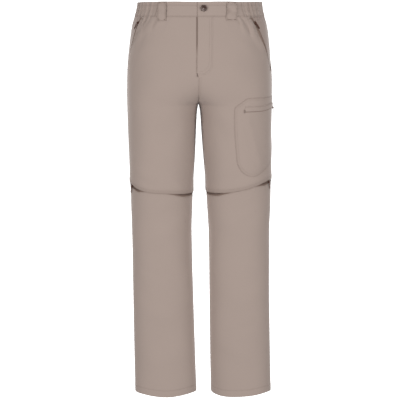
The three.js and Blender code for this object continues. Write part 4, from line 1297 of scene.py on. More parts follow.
@dataclass
class Waistband:
    """Two plain fronts, two elastic sides and a plain back."""

    atelier: Atelier
    proud: float = 0.6
    cloth: float = 2.1
    elastic_end: float = 118.0
    stitch_top: float = 9.5
    stitch_foot: float = -15.5

    def lift(self, height: Array) -> Array:
        """Lift of the band's outer side, with both edges rolled and its stitch lines drawn in."""
        lift = self.proud + roll(BAND_TOP - height, 1.2) + roll(height - BAND_FOOT, 0.5)
        for line in (self.stitch_top, self.stitch_foot):
            lift -= 0.22 * np.exp(-(((height - line) / 1.1) ** 2))
        return lift

    def strip(
        self, name: str, side: Side, face: Face, ends: tuple, columns: int, rise: Callable = flat
    ) -> None:
        """Builds one length of the band.

        Args:
            name: Node that it replaces.
            side: Side that its distances are measured on.
            face: Face that its distances are measured on.
            ends: Functions of the panel's length that give its two ends.
            columns: Number of steps along it.
            rise: Extra lift by distance and height.
        """
        rows = falling(BAND_TOP, BAND_FOOT, 1.7, [(BAND_TOP, BAND_TOP - 1.5, 0.25), (-16.5, BAND_FOOT, 0.3)])
        length = FORM.length(side, face, rows)
        at = between(ends[0](length), ends[1](length), columns, EDGE_STEPS[:6])
        height = spread(rows, at)
        lift = self.lift(height) + rise(at, height)
        edge = np.minimum(at - at[:, :1], at[:, -1:] - at)
        # Painted shade: dark lines at the ends, edges and stitch lines, in the troughs of the elastic's folds
        # and in the gathers.
        seams = mark(edge) + 0.4 * mark(height - BAND_FOOT) + 0.4 * mark(BAND_TOP - height)
        seams += 0.4 * mark(height - self.stitch_top) + 0.4 * mark(height - self.stitch_foot)
        seams -= 0.7 * np.minimum(rise(at, height) + 0.1, 0) * ("side" in name)
        seams += FORM.shade(side, face, np.abs(at), height)
        outer = FORM.around(side, face, at, height, lift + roll(edge, 0.4))
        inner = FORM.around(side, face, at, height, self.proud - self.cloth + rise(at, height))
        held, gain = (Held.GATHERED, 1.25) if "side" in name else (Held.STRETCHED, 1.0)
        self.atelier.lay(Cloth(outer, inner, at, height, seams), name, held, cut_gain=gain)

    def build(self, sewing: Sewing) -> None:
        """Builds the five lengths and their sewing."""
        start, edge = self.elastic_end, FLY_EDGE

        def under(at: Array, height: Array) -> Array:
            """The end that runs under the other front."""
            from_end = FORM.length(R, F, height) + 9 - at
            return -2.6 * (1 - ease(from_end, 12.6, 16.4))

        def over(at: Array, height: Array) -> Array:
            """The fastened end that stands over the other front."""
            from_end = FORM.length(L, F, height) - edge - at
            return 0.7 * (1 - ease(from_end, 0, 26))

        def ruche(at: Array, height: Array) -> Array:
            """Uneven small folds of the elastic."""
            wave = np.sin(at * 0.93 + 0.5 * np.sin(height * 0.09) + 1.3 * np.sin(at * 0.11))
            ends = 1 - ease(np.abs(at), start - 14, start - 2)
            drawn = 0.7 + 0.3 * np.cos((height - BAND_FOOT) * 2 * np.pi / 12)
            return 0.42 * wave * ends * drawn

        self.strip("waistband_front_right", R, F, (lambda n: start + 0 * n, lambda n: n + 9), 60, under)
        self.strip("waistband_front_left", L, F, (lambda n: start + 0 * n, lambda n: n - edge), 60, over)
        self.strip("waistband_back", R, B, (lambda n: start + 0 * n, lambda n: 2 * n - start), 90)
        for side in Side:
            ends = (lambda n: 0 * n - start, lambda n: 0 * n + start)
            self.strip(f"waistband_side_{side.word}", side, B, ends, 190, ruche)
            reach = np.arange(-start + 2, start - 2, 1.2)
            for line in (self.stitch_top, self.stitch_foot, -3.0):
                self._sew(sewing, side, B, reach, line, ruche)
        front, back = FORM.length(L, F, 0.0), FORM.length(L, B, 0.0)
        for line in (self.stitch_top, self.stitch_foot):
            self._sew(sewing, L, F, np.arange(start + 2, front - edge - 3, 1.2), line, over)
            self._sew(sewing, R, F, np.arange(start + 2, front + edge - 2, 1.2), line, under)
            self._sew(sewing, R, B, np.arange(start + 2, 2 * back - start - 2, 1.2), line)
        for side in Side:
            for face in Face:
                height = np.linspace(15, -15, 30)
                seam = FORM.around(side, face, start + 0.1, height, self.proud + 0.05)
                sewing.row(seam, FORM.normal(side, seam))

    def _sew(
        self, sewing: Sewing, side: Side, face: Face, at: Array, line: float, rise: Callable = flat
    ) -> None:
        """Sews one row along a length of the band."""
        height = np.full_like(at, line)
        path = FORM.around(side, face, at, height, self.lift(height) + rise(at, height) + 0.05)
        sewing.row(path, unit(path * (1, 1, 0)))


class Loop(NamedTuple):
    """A belt loop: its node, the centre that it is measured from, its place, width and slackness."""

    node: str
    face: Face
    place: float
    width: float
    slack: float


@dataclass
class BeltLoops:
    """Belt loops, sewn to the band's top and to the panel below it."""

    atelier: Atelier
    cloth: float = 1.5
    foot: float = -28.5

    LOOPS = (
        Loop("belt_loop_front_right", F, -98, 24, 0.25),
        Loop("belt_loop_front_left", F, 83, 27, 1.0),
        Loop("belt_loop_back_right", B, -92, 24, 0.35),
        Loop("belt_loop_back_left", B, 92, 24, 0.45),
        Loop("belt_loop_centre_back", B, 0, 24, 0.3),
    )
    STAND = SmoothColumn([18, 13, 7, -9, -18, -23, -28.5], [1.2, 1.3, 3.2, 3.3, 1.9, 0.6, 0.4])

    def build(self, sewing: Sewing) -> None:
        """Builds each loop, its two stitch rows and its bar tacks."""
        for number, loop in enumerate(self.LOOPS):
            rows = falling(BAND_TOP, self.foot, 1.2, [(BAND_TOP, 16.6, 0.3), (-27, self.foot, 0.3)])
            half = np.full(len(rows), loop.width / 2)
            lean = 0.9 * loop.slack * np.sin(rows * 0.11 + number)
            across = between(loop.place - half + lean, loop.place + half + lean, 16, EDGE_STEPS[:6])
            height = spread(rows, across)
            edge = np.minimum(across - across[:, :1], across[:, -1:] - across)
            lift = self.lift(loop, across, height) + roll(edge, 0.9)
            ends = np.minimum(BAND_TOP - height, height - self.foot)
            outer = FORM.from_centre(loop.face, across, height, lift + roll(ends, 0.9))
            inner = FORM.from_centre(loop.face, across, height, lift - self.cloth)
            # Painted shade: dark lines at the loop's edges, ends and stitch lines, weaker on slack loops, and
            # in the troughs of a loop's folds.
            seams = (mark(edge) + mark(ends) + 0.5 * mark(edge - 3)) * (1.25 - 0.75 * loop.slack)
            seams += 0.5 * np.maximum(self.STAND(height) + self.cloth - lift, 0)
            self.atelier.lay(Cloth(outer, inner, across, height, seams), loop.node, Held.FOLDED)
            self._sew(sewing, loop)

    def lift(self, loop: Loop, across: Array, height: Array) -> Array:
        """Lift of a loop's outer side, slack ones with folds of their own."""
        t = (across - loop.place) / loop.width
        belly = np.exp(-(((height + 1) / 11) ** 2))
        fold = 1.3 * np.sin(2.4 * t + 0.16 * height) * belly + 0.5 * np.sin(7 * t - 0.22 * height) * belly
        return self.STAND(height) + self.cloth - 0.1 + loop.slack * fold

    def _sew(self, sewing: Sewing, loop: Loop) -> None:
        """Sews a loop's two rows and its bar tacks."""
        side = L if loop.place > 0 else R
        height = np.linspace(15.5, -26, 60)
        for sign in (-1, 1):
            across = np.full_like(height, loop.place + sign * (loop.width / 2 - 2.6))
            path = FORM.from_centre(loop.face, across, height, self.lift(loop, across, height) + 0.05)
            sewing.row(path, FORM.normal(side, path))
        for level in (14.5, -25.0):
            across = loop.place + (loop.width / 2 - 3) * np.array([-1.0, 1.0])
            lift = self.lift(loop, across, level) + 0.15
            sewing.tack(side, FORM.from_centre(loop.face, across, level, lift))


@dataclass
class Fly:
    """The placket with its J-shaped stitching, and the zip behind it."""

    atelier: Atelier
    width: float = 40.0
    foot: float = -166.0
    curve: float = 26.0
    cloth: float = 1.1

    def outline(self, height: Array, width: float, foot: float) -> Array:
        """Width of the placket, or of a stitch row in it, at each height."""
        down = np.clip((foot + self.curve - height) / self.curve, 0, 1)
        return width - self.curve + self.curve * np.sqrt(np.maximum(1 - down * down, 0))

    def lift(self, across: Array, height: Array) -> Array:
        """Lift of the placket's outer side: a rolled edge at the opening, flat into the panel beyond."""
        from_edge = across - FLY_EDGE
        rest = self.outline(height, self.width, self.foot) - from_edge
        sink = (self.cloth - 0.25) * (1 - ease(rest, 0, 7)) * ease(from_edge, 2, 12)
        drape = 0.25 * np.sin(height * 0.085) * np.exp(-from_edge / 9)
        return self.cloth + 0.35 + drape - sink + roll(from_edge, 0.8)

    def build(self, sewing: Sewing) -> None:
        """Builds the placket, its sewing and the zip."""
        fine = [(BAND_FOOT, -19.2, 0.3), (self.foot + self.curve, self.foot + 0.02, 1.0)]
        rows = falling(BAND_FOOT, self.foot + 0.02, 3.0, fine)
        key = np.concatenate([EDGE_STEPS[:6] / self.width, np.linspace(0.07, 1, 26)])
        across = FLY_EDGE + self.outline(rows, self.width, self.foot)[:, None] * key
        height = spread(rows, across)
        lift = self.lift(across, height)
        # A painted shadow along the placket's opening edge, strongest at the top, and a dark painted line
        # under the band.
        fly_shadow = 0.4 + 1.6 * ease(height, -118, -84)
        seams = fly_shadow * mark(across - FLY_EDGE) + 0.3 * mark(BAND_FOOT - height)
        outer = FORM.from_centre(F, across, height, lift)
        inner = FORM.from_centre(F, across, height, np.minimum(lift - 0.2, 0.3))
        self.atelier.lay(Cloth(outer, inner, across, height, seams), "fly_placket", Held.LAID)
        for inset in (3.0, 8.5):
            width, foot = self.width - inset, self.foot + inset
            turn = np.linspace(0, math.pi / 2, 40)
            straight = np.arange(-20.0, foot + self.curve, -SEW_STEP)
            bend_across = FLY_EDGE + width - self.curve + self.curve * np.cos(turn)
            bend_height = foot + self.curve - self.curve * np.sin(turn)
            inwards = np.linspace(FLY_EDGE + width - self.curve, FLY_EDGE + 5, 8)
            across = (np.full_like(straight, FLY_EDGE + width), bend_across, inwards)
            height = (straight, bend_height, np.full_like(inwards, foot))
            self._sew(sewing, np.concatenate(across), np.concatenate(height))
        opening = np.arange(-22.0, self.foot + 8, -SEW_STEP)
        self._sew(sewing, np.full_like(opening, FLY_EDGE + 1.6), opening)
        sewing.tack(R, FORM.from_centre(F, FLY_EDGE + 1.5, np.array([-162.0, -171.0]), 1.6))
        self._zip()

    def _sew(self, sewing: Sewing, across: Array, height: Array) -> None:
        """Sews a row over the placket."""
        path = FORM.from_centre(F, across, height, self.lift(across, height) + 0.05)
        sewing.row(path, FORM.normal(L, path))

    def _zip(self) -> None:
        """Builds the zip's tape and coil behind the placket."""
        rows = falling(-22.0, -158.0, 3.0)
        across = np.broadcast_to(np.linspace(-9, 13, 12), (len(rows), 12))
        height = spread(rows, across)
        outer, inner = (FORM.from_centre(F, across, height, lift) for lift in (-2.0, -2.8))
        self.atelier.tape("fly_zip_tape", "fly_zip", (outer, inner, across, height))
        path = FORM.from_centre(F, 0.0, np.linspace(-24, -154, 80), -3.1)
        self.atelier.coil("fly_zip_coil", path, -FORM.normal(L, path))


@dataclass
class HandPockets:
    """The facing behind each slanted mouth, the zip along it and the mouth's sewing."""

    atelier: Atelier
    legs: UpperLegs
    depth: float = 2.3
    underlap: float = 9.0
    level: float = 11.0
    zip_lift: float = -2.0

    def lift(self, side: Side, at: Array, height: Array) -> Array:
        """Lift of the facing, which rises to the side seam and tucks in below the mouth."""
        line, _, _ = FORM.mouth(side, height)
        rise = 1 - ease(at, 0, np.maximum(line - self.level, 4))
        tuck = ease(-136 - height, 0, 20)
        dip = 1.1 * ease(at - line, -5, self.underlap - 3)
        foot = 2 * ease(MOUTH_FOOT + 12 - height, 0, 12)
        return -self.depth * (1 - rise * (1 - tuck)) - dip - foot

    def build(self, sewing: Sewing) -> None:
        """Builds both pockets."""
        for side in Side:
            rows = falling(BAND_FOOT + 4, -174, 2.4, [(BAND_FOOT + 1, -20, 0.3)])
            line, _, gape = FORM.mouth(side, rows)
            at = between(0 * rows, line + gape + self.underlap, 34, EDGE_STEPS[:6])
            height = spread(rows, at)
            lift = self.lift(side, at, height) + roll(at)
            under = self.legs.lift(side, F, at, height) - CLOTH - 0.1
            past = ease(at - line[:, None], 4.8, (gape + self.underlap - 0.5)[:, None])
            lift += (under - lift) * past
            lift = np.minimum(lift, -self.depth * ease(height, BAND_FOOT - 0.9, BAND_FOOT + 0.6))
            # Painted shade on the facing where it runs under the panel past the mouth line, strongest near
            # the top, with dark lines at the side seam and under the band.
            shade = ease(at, line[:, None] - 5, line[:, None] + 3) * ease(height, -104, -60)
            seams = mark(at) + 0.5 * mark(BAND_FOOT - height) + 0.9 * shade
            outer, inner = (FORM.place(side, F, at, height, level) for level in (lift, lift - CLOTH))
            sheet = Cloth(outer, inner, at, height, np.clip(seams, 0, 1))
            weave = self.atelier.wardrobe.facing
            self.atelier.lay(sheet, f"pocket_facing_{side.word}", Held.LAID, material=weave)
            self._zip(side)
            self._sew(sewing, side)

    def _zip(self, side: Side) -> None:
        """Builds the zip's tape and coil along one mouth."""
        rows = falling(-20, MOUTH_FOOT + 4, 2.6)
        line, _, _ = FORM.mouth(side, rows)
        at = line[:, None] + 4.4 - (POCKET_ZIP_WIDTH + 5) * np.linspace(0, 1, 8)
        height = spread(rows, at)
        outer, inner = (FORM.place(side, F, at, height, self.zip_lift + rise) for rise in (0.7, 0.0))
        name = f"pocket_zip_{side.word}"
        weave = self.atelier.wardrobe.pocket_tape
        self.atelier.tape(f"{name}_tape", name, (outer, inner, at, height), weave)
        down = np.linspace(-21, MOUTH_FOOT + 5, 120)
        middle = FORM.mouth(side, down)[0] - 0.6 - POCKET_ZIP_WIDTH / 2
        path = FORM.place(side, F, middle, down, self.zip_lift + 0.85)
        self.atelier.coil(f"{name}_coil", path, FORM.normal(side, path), 1.1)

    def _sew(self, sewing: Sewing, side: Side) -> None:
        """Sews the mouth's edge and the bar tacks at its ends."""
        height = np.arange(-22.0, MOUTH_FOOT + 2, -SEW_STEP)
        for inset in (1.6, 7.0):
            self.legs.row(sewing, side, F, FORM.mouth(side, height)[1] + inset, height)
        for level in (-24.0, MOUTH_FOOT + 2):
            at = FORM.mouth(side, level)[1] + np.array([0.5, 9.0])
            lift = self.legs.lift(side, F, at, level) + 0.2
            sewing.tack(side, FORM.place(side, F, at, level, lift))


class PocketCorner(NamedTuple):
    """A corner of the cargo pocket: distance behind the outseam, height and rounding."""

    across: float
    height: float
    rounding: float


@dataclass
class CargoPocket:
    """The patch round the left outseam, its zip and the welt over it."""

    atelier: Atelier
    legs: UpperLegs
    seat: float = 0.2
    stand: float = 1.3
    cloth: float = 0.9
    zip_height: float = -262.0
    welt_front: float = -139.0
    welt_back: float = 8.0

    CORNERS = [PocketCorner(*row) for row in (
        (-137, -227, 6), (42, -227, 8), (42, -366, 40), (-103, -447, 26), (-145, -417, 25), (-166, -253, 6),
    )]

    def __post_init__(self) -> None:
        """Rounds the outline's corners."""
        outline = []
        count = len(self.CORNERS)
        for n, corner in enumerate(self.CORNERS):
            at = np.array(corner[:2], float)
            ends = []
            for other in (self.CORNERS[n - 1], self.CORNERS[(n + 1) % count]):
                way = np.array(other[:2], float) - at
                ends.append(at + way / norm(way) * corner.rounding)
            for t in np.linspace(0, 1, 12):
                outline.append((1 - t) ** 2 * ends[0] + 2 * t * (1 - t) * at + t * t * ends[1])
        self.outline = np.array(outline)
        self.top = self.outline[:, 1].max()
        self.foot = self.outline[:, 1].min()

    def span(self, height: Array) -> tuple[Array, Array]:
        """First and last place of the pocket at each height."""
        first, last = [], []
        ends = np.roll(self.outline, -1, axis=0)
        for level in np.clip(height, self.foot + 0.02, self.top - 0.02):
            crosses = (self.outline[:, 1] - level) * (ends[:, 1] - level) <= 0
            crosses &= self.outline[:, 1] != ends[:, 1]
            a, b = self.outline[crosses], ends[crosses]
            x = a[:, 0] + (b[:, 0] - a[:, 0]) * (level - a[:, 1]) / (b[:, 1] - a[:, 1])
            first.append(x.min())
            last.append(x.max())
        return np.array(first), np.array(last)

    def inwards(self, across: Array, height: Array) -> Array:
        """Distance from the outline, inside it."""
        ends = np.roll(self.outline, -1, axis=0)
        nearest = np.full(across.shape, 1e3)
        for a, b in zip(self.outline, ends):
            run = b - a
            t = np.clip(((across - a[0]) * run[0] + (height - a[1]) * run[1]) / max(run @ run, 1e-9), 0, 1)
            nearest = np.minimum(nearest, np.hypot(across - a[0] - t * run[0], height - a[1] - t * run[1]))
        return nearest

    def zip_line(self, across: Array) -> Array:
        """Height of the zip, which sags a little towards its front end."""
        return self.zip_height + 4.5 * np.exp(-(((across + 32) / 36) ** 2))

    def swell(self, across: Array, height: Array) -> Array:
        """Lift of the patch's underside."""
        return self.seat + self.stand * ease(self.inwards(across, height), 0, 24)

    def place(self, across: Array, height: Array, lift: Array) -> Array:
        """Places over the left thigh, at a distance behind the outseam."""
        face_length = np.where(across < 0, FORM.length(L, F, height), FORM.length(L, B, height))
        flap = self.legs.flap(L, np.abs(across) / face_length, height)
        return FORM.around(L, B, across, height, lift + flap)

    def lift(self, across: Array, height: Array) -> Array:
        """Lift of the patch's outer side, with its rolled edge and its slight bagging."""
        edge = self.inwards(across, height)
        bag = 0.5 * np.sin(across * 0.05 + 1) * np.sin(height * 0.045) * ease(edge, 6, 30)
        drag = 0.9 * np.exp(-(((across + 118 + 0.35 * (height + 300)) / 9) ** 2)) * ease(edge, 4, 24)
        groove = 0.2 * np.exp(-(((edge - 2) / 0.8) ** 2))
        return self.swell(across, height) + self.cloth + bag + drag + roll(edge, 0.9) - groove

    def build(self, sewing: Sewing) -> None:
        """Builds the patch, the zip, the welt and the sewing."""
        fine = [(self.top - 0.02, self.top - 2.4, 0.4), (self.foot + 5, self.foot + 0.05, 0.6)]
        rows = falling(self.top - 0.02, self.foot + 0.05, 2.8, fine)
        first, last = self.span(rows)
        key = between(np.zeros(1), np.ones(1), 60, EDGE_STEPS[:9] / 200)[0]
        across = first[:, None] + (last - first)[:, None] * key
        height = spread(rows, across)
        lift = self.lift(across, height)
        edge = self.inwards(across, height)
        # Painted shade: a dark line round the patch's edge.
        seams = 0.25 * mark(edge) + 0.42 * mark((edge - 1) / 2.4)
        outer = self.place(across, height, lift)
        inner = self.place(across, height, np.minimum(lift - 0.3, self.swell(across, height)))
        self.atelier.lay(Cloth(outer, inner, across, height, seams), "cargo_pocket", Held.LAID)
        self._zip()
        self._welt(sewing)
        for inset in (2.0, 7.5):
            self._sew_inset(sewing, inset)

    def _zip(self) -> None:
        """Builds the zip's tape and coil across the pocket."""
        across = np.broadcast_to(np.linspace(-137, 28, 100), (7, 100))
        height = self.zip_line(across) + np.linspace(9.5, -2.3, 7)[:, None]
        lift = self.lift(across, height)
        outer, inner = (self.place(across, height, lift + rise) for rise in (0.6, 0.1))
        self.atelier.tape("cargo_zip_tape", "cargo_zip", (outer, inner, across, height))
        along = np.linspace(-135, 26, 160)
        level = self.zip_line(along) + 0.6
        path = self.place(along, level, self.lift(along, level) + 0.7)
        self.atelier.coil("cargo_zip_coil", path, FORM.normal(L, path), 1.2)

    def _welt(self, sewing: Sewing) -> None:
        """Builds the welt over the zip."""
        stand = SmoothColumn([13, 10.5, 8, 5, 3.2, -0.8], [0.1, 0.75, 0.8, 0.9, 1.05, 1.1])
        above = np.array([13, 12.7, 12, 10, 8, 6.5, 5, 4, 3, 2, 1, 0.3, -0.3, -0.8])
        across = np.broadcast_to(np.linspace(self.welt_front, self.welt_back, 90), (len(above), 90))
        above = spread(above, across)
        height = self.zip_line(across) + above
        over = stand(above) * (0.25 + 0.75 * ease(across, self.welt_front, self.welt_front + 19))
        wave = 0.25 * np.sin(across * 0.12) * ease(above, 8, 0)
        lift = self.lift(across, height) + over + wave
        edge = np.minimum(np.minimum(across - self.welt_front, self.welt_back - across), above + 0.8)
        outer = self.place(across, height, lift + 0.8 + roll(edge, 0.6))
        inner = self.place(across, height, lift)
        # Painted shade: dark lines at the welt's edges and along its top.
        seams = 0.5 * mark(edge) + 0.3 * mark(13 - above)
        self.atelier.lay(Cloth(outer, inner, across, height, seams), "cargo_welt", Held.FOLDED)
        along = np.arange(self.welt_front + 3, self.welt_back - 2, SEW_STEP)
        level = self.zip_line(along) + 11
        path = self.place(along, level, self.lift(along, level) + stand(11.0) + 1.0)
        sewing.row(path, FORM.normal(L, path))
        for end in (self.welt_front + 1, self.welt_back + 1):
            sewing.tack(L, self.place(end, self.zip_height + np.array([4.0, -4.0]), 5.6))

    def _sew_inset(self, sewing: Sewing, inset: float) -> None:
        """Sews a row all round the pocket, inside its edge."""
        middle = np.array([-70.0, -330.0])
        ends = np.roll(self.outline, -1, axis=0)
        ways = ends - self.outline
        inward = np.stack([-ways[:, 1], ways[:, 0]], axis=1)
        inward /= np.maximum(norm(inward, axis=1, keepdims=True), 1e-9)
        inward *= np.sign(np.einsum("ij,ij->i", middle - self.outline, inward))[:, None]
        lines = np.concatenate([self.outline + inward * inset, ends + inward * inset], axis=1).reshape(-1, 2)
        lines = np.concatenate([lines, lines[:1]])
        steps = np.concatenate([[0], np.cumsum(norm(np.diff(lines, axis=0), axis=1))])
        at = np.arange(0, steps[-1], SEW_STEP)
        across, height = np.interp(at, steps, lines[:, 0]), np.interp(at, steps, lines[:, 1])
        keep = self.inwards(across, height) > inset * 0.8
        across, height = across[keep], height[keep]
        path = self.place(across, height, self.lift(across, height) + 0.06)
        breaks = np.where(norm(np.diff(path, axis=0), axis=1) > 6)[0] + 1
        for part in np.split(path, breaks):
            if len(part) > 3:
                sewing.row(part, FORM.normal(L, part))


def inset(width: float) -> Step:
    """A step that insets the chosen faces by millimetres."""
    return lambda: bpy.ops.mesh.inset(thickness=width * MM)


def push(rise: float) -> Step:
    """A step that moves what is chosen up by millimetres."""
    return lambda: bpy.ops.transform.translate(value=(0, 0, rise * MM))


def bevel(width: float, segments: int) -> Step:
    """A step that bevels the chosen edges by millimetres."""
    return lambda: bpy.ops.mesh.bevel(offset=width * MM, segments=segments, affect="EDGES")


ACROSS = (0, math.pi / 2, 0)


class Bench:
    """Hard pieces modelled on the bench, in metres, then set in place."""

    @staticmethod
    def _started(name: str) -> Piece:
        """Names the new primitive and puts its place and size in its mesh."""
        bpy.ops.object.transform_apply(location=True, rotation=True, scale=True)
        piece = bpy.context.active_object
        piece.name = piece.data.name = name
        return piece

    @staticmethod
    def cube(name: str, size: Sequence[float], at: Sequence[float]) -> Piece:
        """Adds a block of that size to start from."""
        bpy.ops.mesh.primitive_cube_add(size=1.0, location=at)
        bpy.context.active_object.scale = size
        return Bench._started(name)

    @staticmethod
    def rod(name: str, size: tuple, at: Sequence[float], turn: Sequence[float], sides: int) -> Piece:
        """Adds a round bar of that radius and depth, turned from its upright start."""
        bpy.ops.mesh.primitive_cylinder_add(
            vertices=sides, radius=size[0], depth=size[1], location=at, rotation=turn
        )
        return Bench._started(name)

    @staticmethod
    def edit(piece: Piece, test: Callable, *steps: Step, edges: bool = False) -> None:
        """Works on the faces whose middle and normal pass a test, or on the edges whose ends do."""
        only(piece)
        bpy.context.tool_settings.mesh_select_mode = (False, edges, not edges)
        bpy.ops.object.mode_set(mode="EDIT")
        bpy.ops.mesh.select_all(action="DESELECT")
        bpy.ops.object.mode_set(mode="OBJECT")
        if edges:
            points = piece.data.vertices
            parts = [(edge, *(points[n].co for n in edge.vertices)) for edge in piece.data.edges]
        else:
            parts = [(face, face.center, face.normal) for face in piece.data.polygons]
        for part, first, second in parts:
            part.select = bool(test(first, second))
        bpy.ops.object.mode_set(mode="EDIT")
        for step in steps:
            step()
        bpy.ops.object.mode_set(mode="OBJECT")

    @staticmethod
    def round_off(piece: Piece, width: float, segments: int = 2, degrees: float = 35) -> None:
        """Bevels a piece's sharp edges by millimetres."""
        only(piece)
        bpy.ops.object.modifier_add(type="BEVEL")
        bevel = piece.modifiers[-1]
        bevel.width, bevel.segments = width * MM, segments
        bevel.limit_method, bevel.angle_limit = "ANGLE", math.radians(degrees)
        bpy.ops.object.modifier_apply(modifier=bevel.name)

    @staticmethod
    def join(name: str, pieces: Sequence[Piece]) -> Piece:
        """Joins pieces in one object."""
        only(pieces[0])
        for piece in pieces:
            piece.select_set(True)
        bpy.ops.object.join()
        whole = bpy.context.active_object
        whole.name = whole.data.name = name
        return whole

    @staticmethod
    def set_down(piece: Piece, place: Matrix) -> None:
        """Puts a piece in the garment's frame, in its mesh."""
        piece.data.transform(place)
        piece.data.update()
        soften(piece, 40)


def basis(x: Vector, y: Vector, z: Vector, origin: Vector) -> Matrix:
    """A placement from three directions and an origin."""
    matrix = Matrix((x, y, z)).transposed().to_4x4()
    matrix.translation = origin
    return matrix


@dataclass
class Pull:
    """A zip's slider and the tab that swings on it."""

    atelier: Atelier
    name: str
    body: str
    side: Side
    length: float
    width: float
    slider_height: float = 1.8
    lug_height: float = 1.8
    tab_length: float = 19.0
    tab_width: float = 4.4

    def build(self) -> None:
        """Builds the slider and the tab at their joint."""
        facts = next(j for j in frame["joints"] if j["name"] == f"{self.body}_swing")
        hinge_at = Vector(facts["pos_m"])
        hinge = -Vector(facts["axis"]).normalized()
        low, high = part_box(f"{self.name}_tab")
        ways = ((Vector(low) + Vector(high)) / 2 - hinge_at, FORM.normal(self.side, np.array(hinge_at) / MM))
        down, normal = ((way - hinge * way.dot(hinge)).normalized() for way in map(Vector, ways))
        slider = self._slider()
        foot = hinge_at - normal * (self.slider_height + self.lug_height / 2) * MM
        Bench.set_down(slider, basis(hinge, normal.cross(hinge), normal, foot))
        tab = self._tab()
        Bench.set_down(tab, basis(hinge, -down, hinge.cross(-down), hinge_at))
        pull = self.atelier.wardrobe.pull
        self.atelier.dress(slider, pull, Slot.PULL, [f"{self.name}_slider"])
        self.atelier.dress(tab, pull, Slot.PULL, [f"{self.name}_tab"], self.body)

    def _slider(self) -> Piece:
        """Models the slider: a waisted body with side lips, two lugs and a pin through them."""
        along, across, height = self.length * MM, self.width * MM, self.slider_height * MM
        body = Bench.cube("body", (along, across, height), (0, 0, height / 2))
        Bench.edit(body, lambda a, b: abs(a.z - b.z) > height / 2 and a.y < 0, bevel(1.5, 3), edges=True)
        Bench.edit(body, lambda a, b: abs(a.z - b.z) > height / 2 and a.y > 0, bevel(1.1, 3), edges=True)
        Bench.edit(body, lambda c, n: n.z > 0.9, inset(0.55), push(0.22), inset(0.5), push(-0.15))
        Bench.round_off(body, 0.18)
        pieces = [body]
        for sign in (-1, 1):
            lug_at = (sign * 1.9 * MM, 0, height + self.lug_height * MM / 2 - 0.1 * MM)
            lug = Bench.cube("lug", (1.0 * MM, 2.4 * MM, self.lug_height * MM), lug_at)
            Bench.edit(
                lug,
                lambda a, b: abs(a.x - b.x) > 0.5 * MM and a.z > height + 0.5 * MM,
                bevel(0.8, 4),
                edges=True,
            )
            Bench.round_off(lug, 0.12)
            pieces.append(lug)
        pin_at = (0, 0, height + self.lug_height * MM / 2)
        pin = Bench.rod("pin", (0.34 * MM, 5.0 * MM), pin_at, ACROSS, 14)
        Bench.round_off(pin, 0.1)
        pieces.append(pin)
        return Bench.join(f"{self.name}_slider_piece", pieces)

    def _tab(self) -> Piece:
        """Models the tab: a rounded blade with a sunk panel, a neck and an eye on the pin."""
        length, width = self.tab_length * MM, self.tab_width * MM
        top = -3.6 * MM
        blade_at = (0, (top - length) / 2, 0)
        blade = Bench.cube("blade", (width, length + top, 1.0 * MM), blade_at)
        Bench.edit(
            blade,
            lambda a, b: abs(a.z - b.z) > 0.5 * MM and a.y < top - 2 * MM,
            bevel(self.tab_width * 0.48, 8),
            edges=True,
        )
        Bench.edit(
            blade, lambda a, b: abs(a.z - b.z) > 0.5 * MM and a.y > top - MM, bevel(1.1, 3), edges=True
        )
        for sign in (-1, 1):
            Bench.edit(blade, lambda c, n, sign=sign: n.z * sign > 0.9, inset(0.75), push(-sign * 0.22))
        Bench.round_off(blade, 0.16)
        neck = Bench.cube("neck", (2.0 * MM, 3.2 * MM, 0.9 * MM), (0, -2.5 * MM, 0))
        Bench.round_off(neck, 0.25)
        radii = {"major_radius": 0.72 * MM, "minor_radius": 0.3 * MM}
        bpy.ops.mesh.primitive_torus_add(major_segments=18, minor_segments=8, rotation=ACROSS, **radii)
        bpy.context.active_object.scale = (2.6, 1.0, 1.0)
        eye = Bench._started("eye")
        return Bench.join(f"{self.name}_tab_piece", [blade, neck, eye])


@dataclass
class WaistButton:
    """The shank button on the waistband's fastened end."""

    atelier: Atelier
    across: float = 11.0
    height: float = 3.0
    radius: float = 8.5
    thickness: float = 3.0
    foot: float = 1.2

    def build(self) -> None:
        """Models the button and sets it on the band."""
        radius, thick = self.radius * MM, self.thickness * MM
        disc = Bench.rod("waist_button_piece", (radius, thick), (0, 0, thick / 2), (0, 0, 0), 48)
        Bench.edit(
            disc,
            lambda c, n: n.z > 0.9,
            *(inset(0.9), push(0.15), inset(0.8), push(-0.75)),
            *(inset(3.0), push(0.3), inset(0.9), push(0.35)),
        )
        Bench.edit(disc, lambda c, n: n.z < -0.9, inset(1.4), push(-0.3))
        Bench.round_off(disc, 0.35, 3, 28)
        seat = FORM.from_centre(F, self.across, self.height, self.foot + 0.7)
        base = FORM.from_centre(F, self.across, self.height, 0.0)
        normal = Vector(FORM.normal(L, base))
        side = Vector((0, 0, 1)).cross(normal).normalized()
        Bench.set_down(disc, basis(side, normal.cross(side), normal, Vector(seat * MM)))
        self.atelier.dress(disc, self.atelier.wardrobe.button, Slot.BUTTON, ["waist_button"])


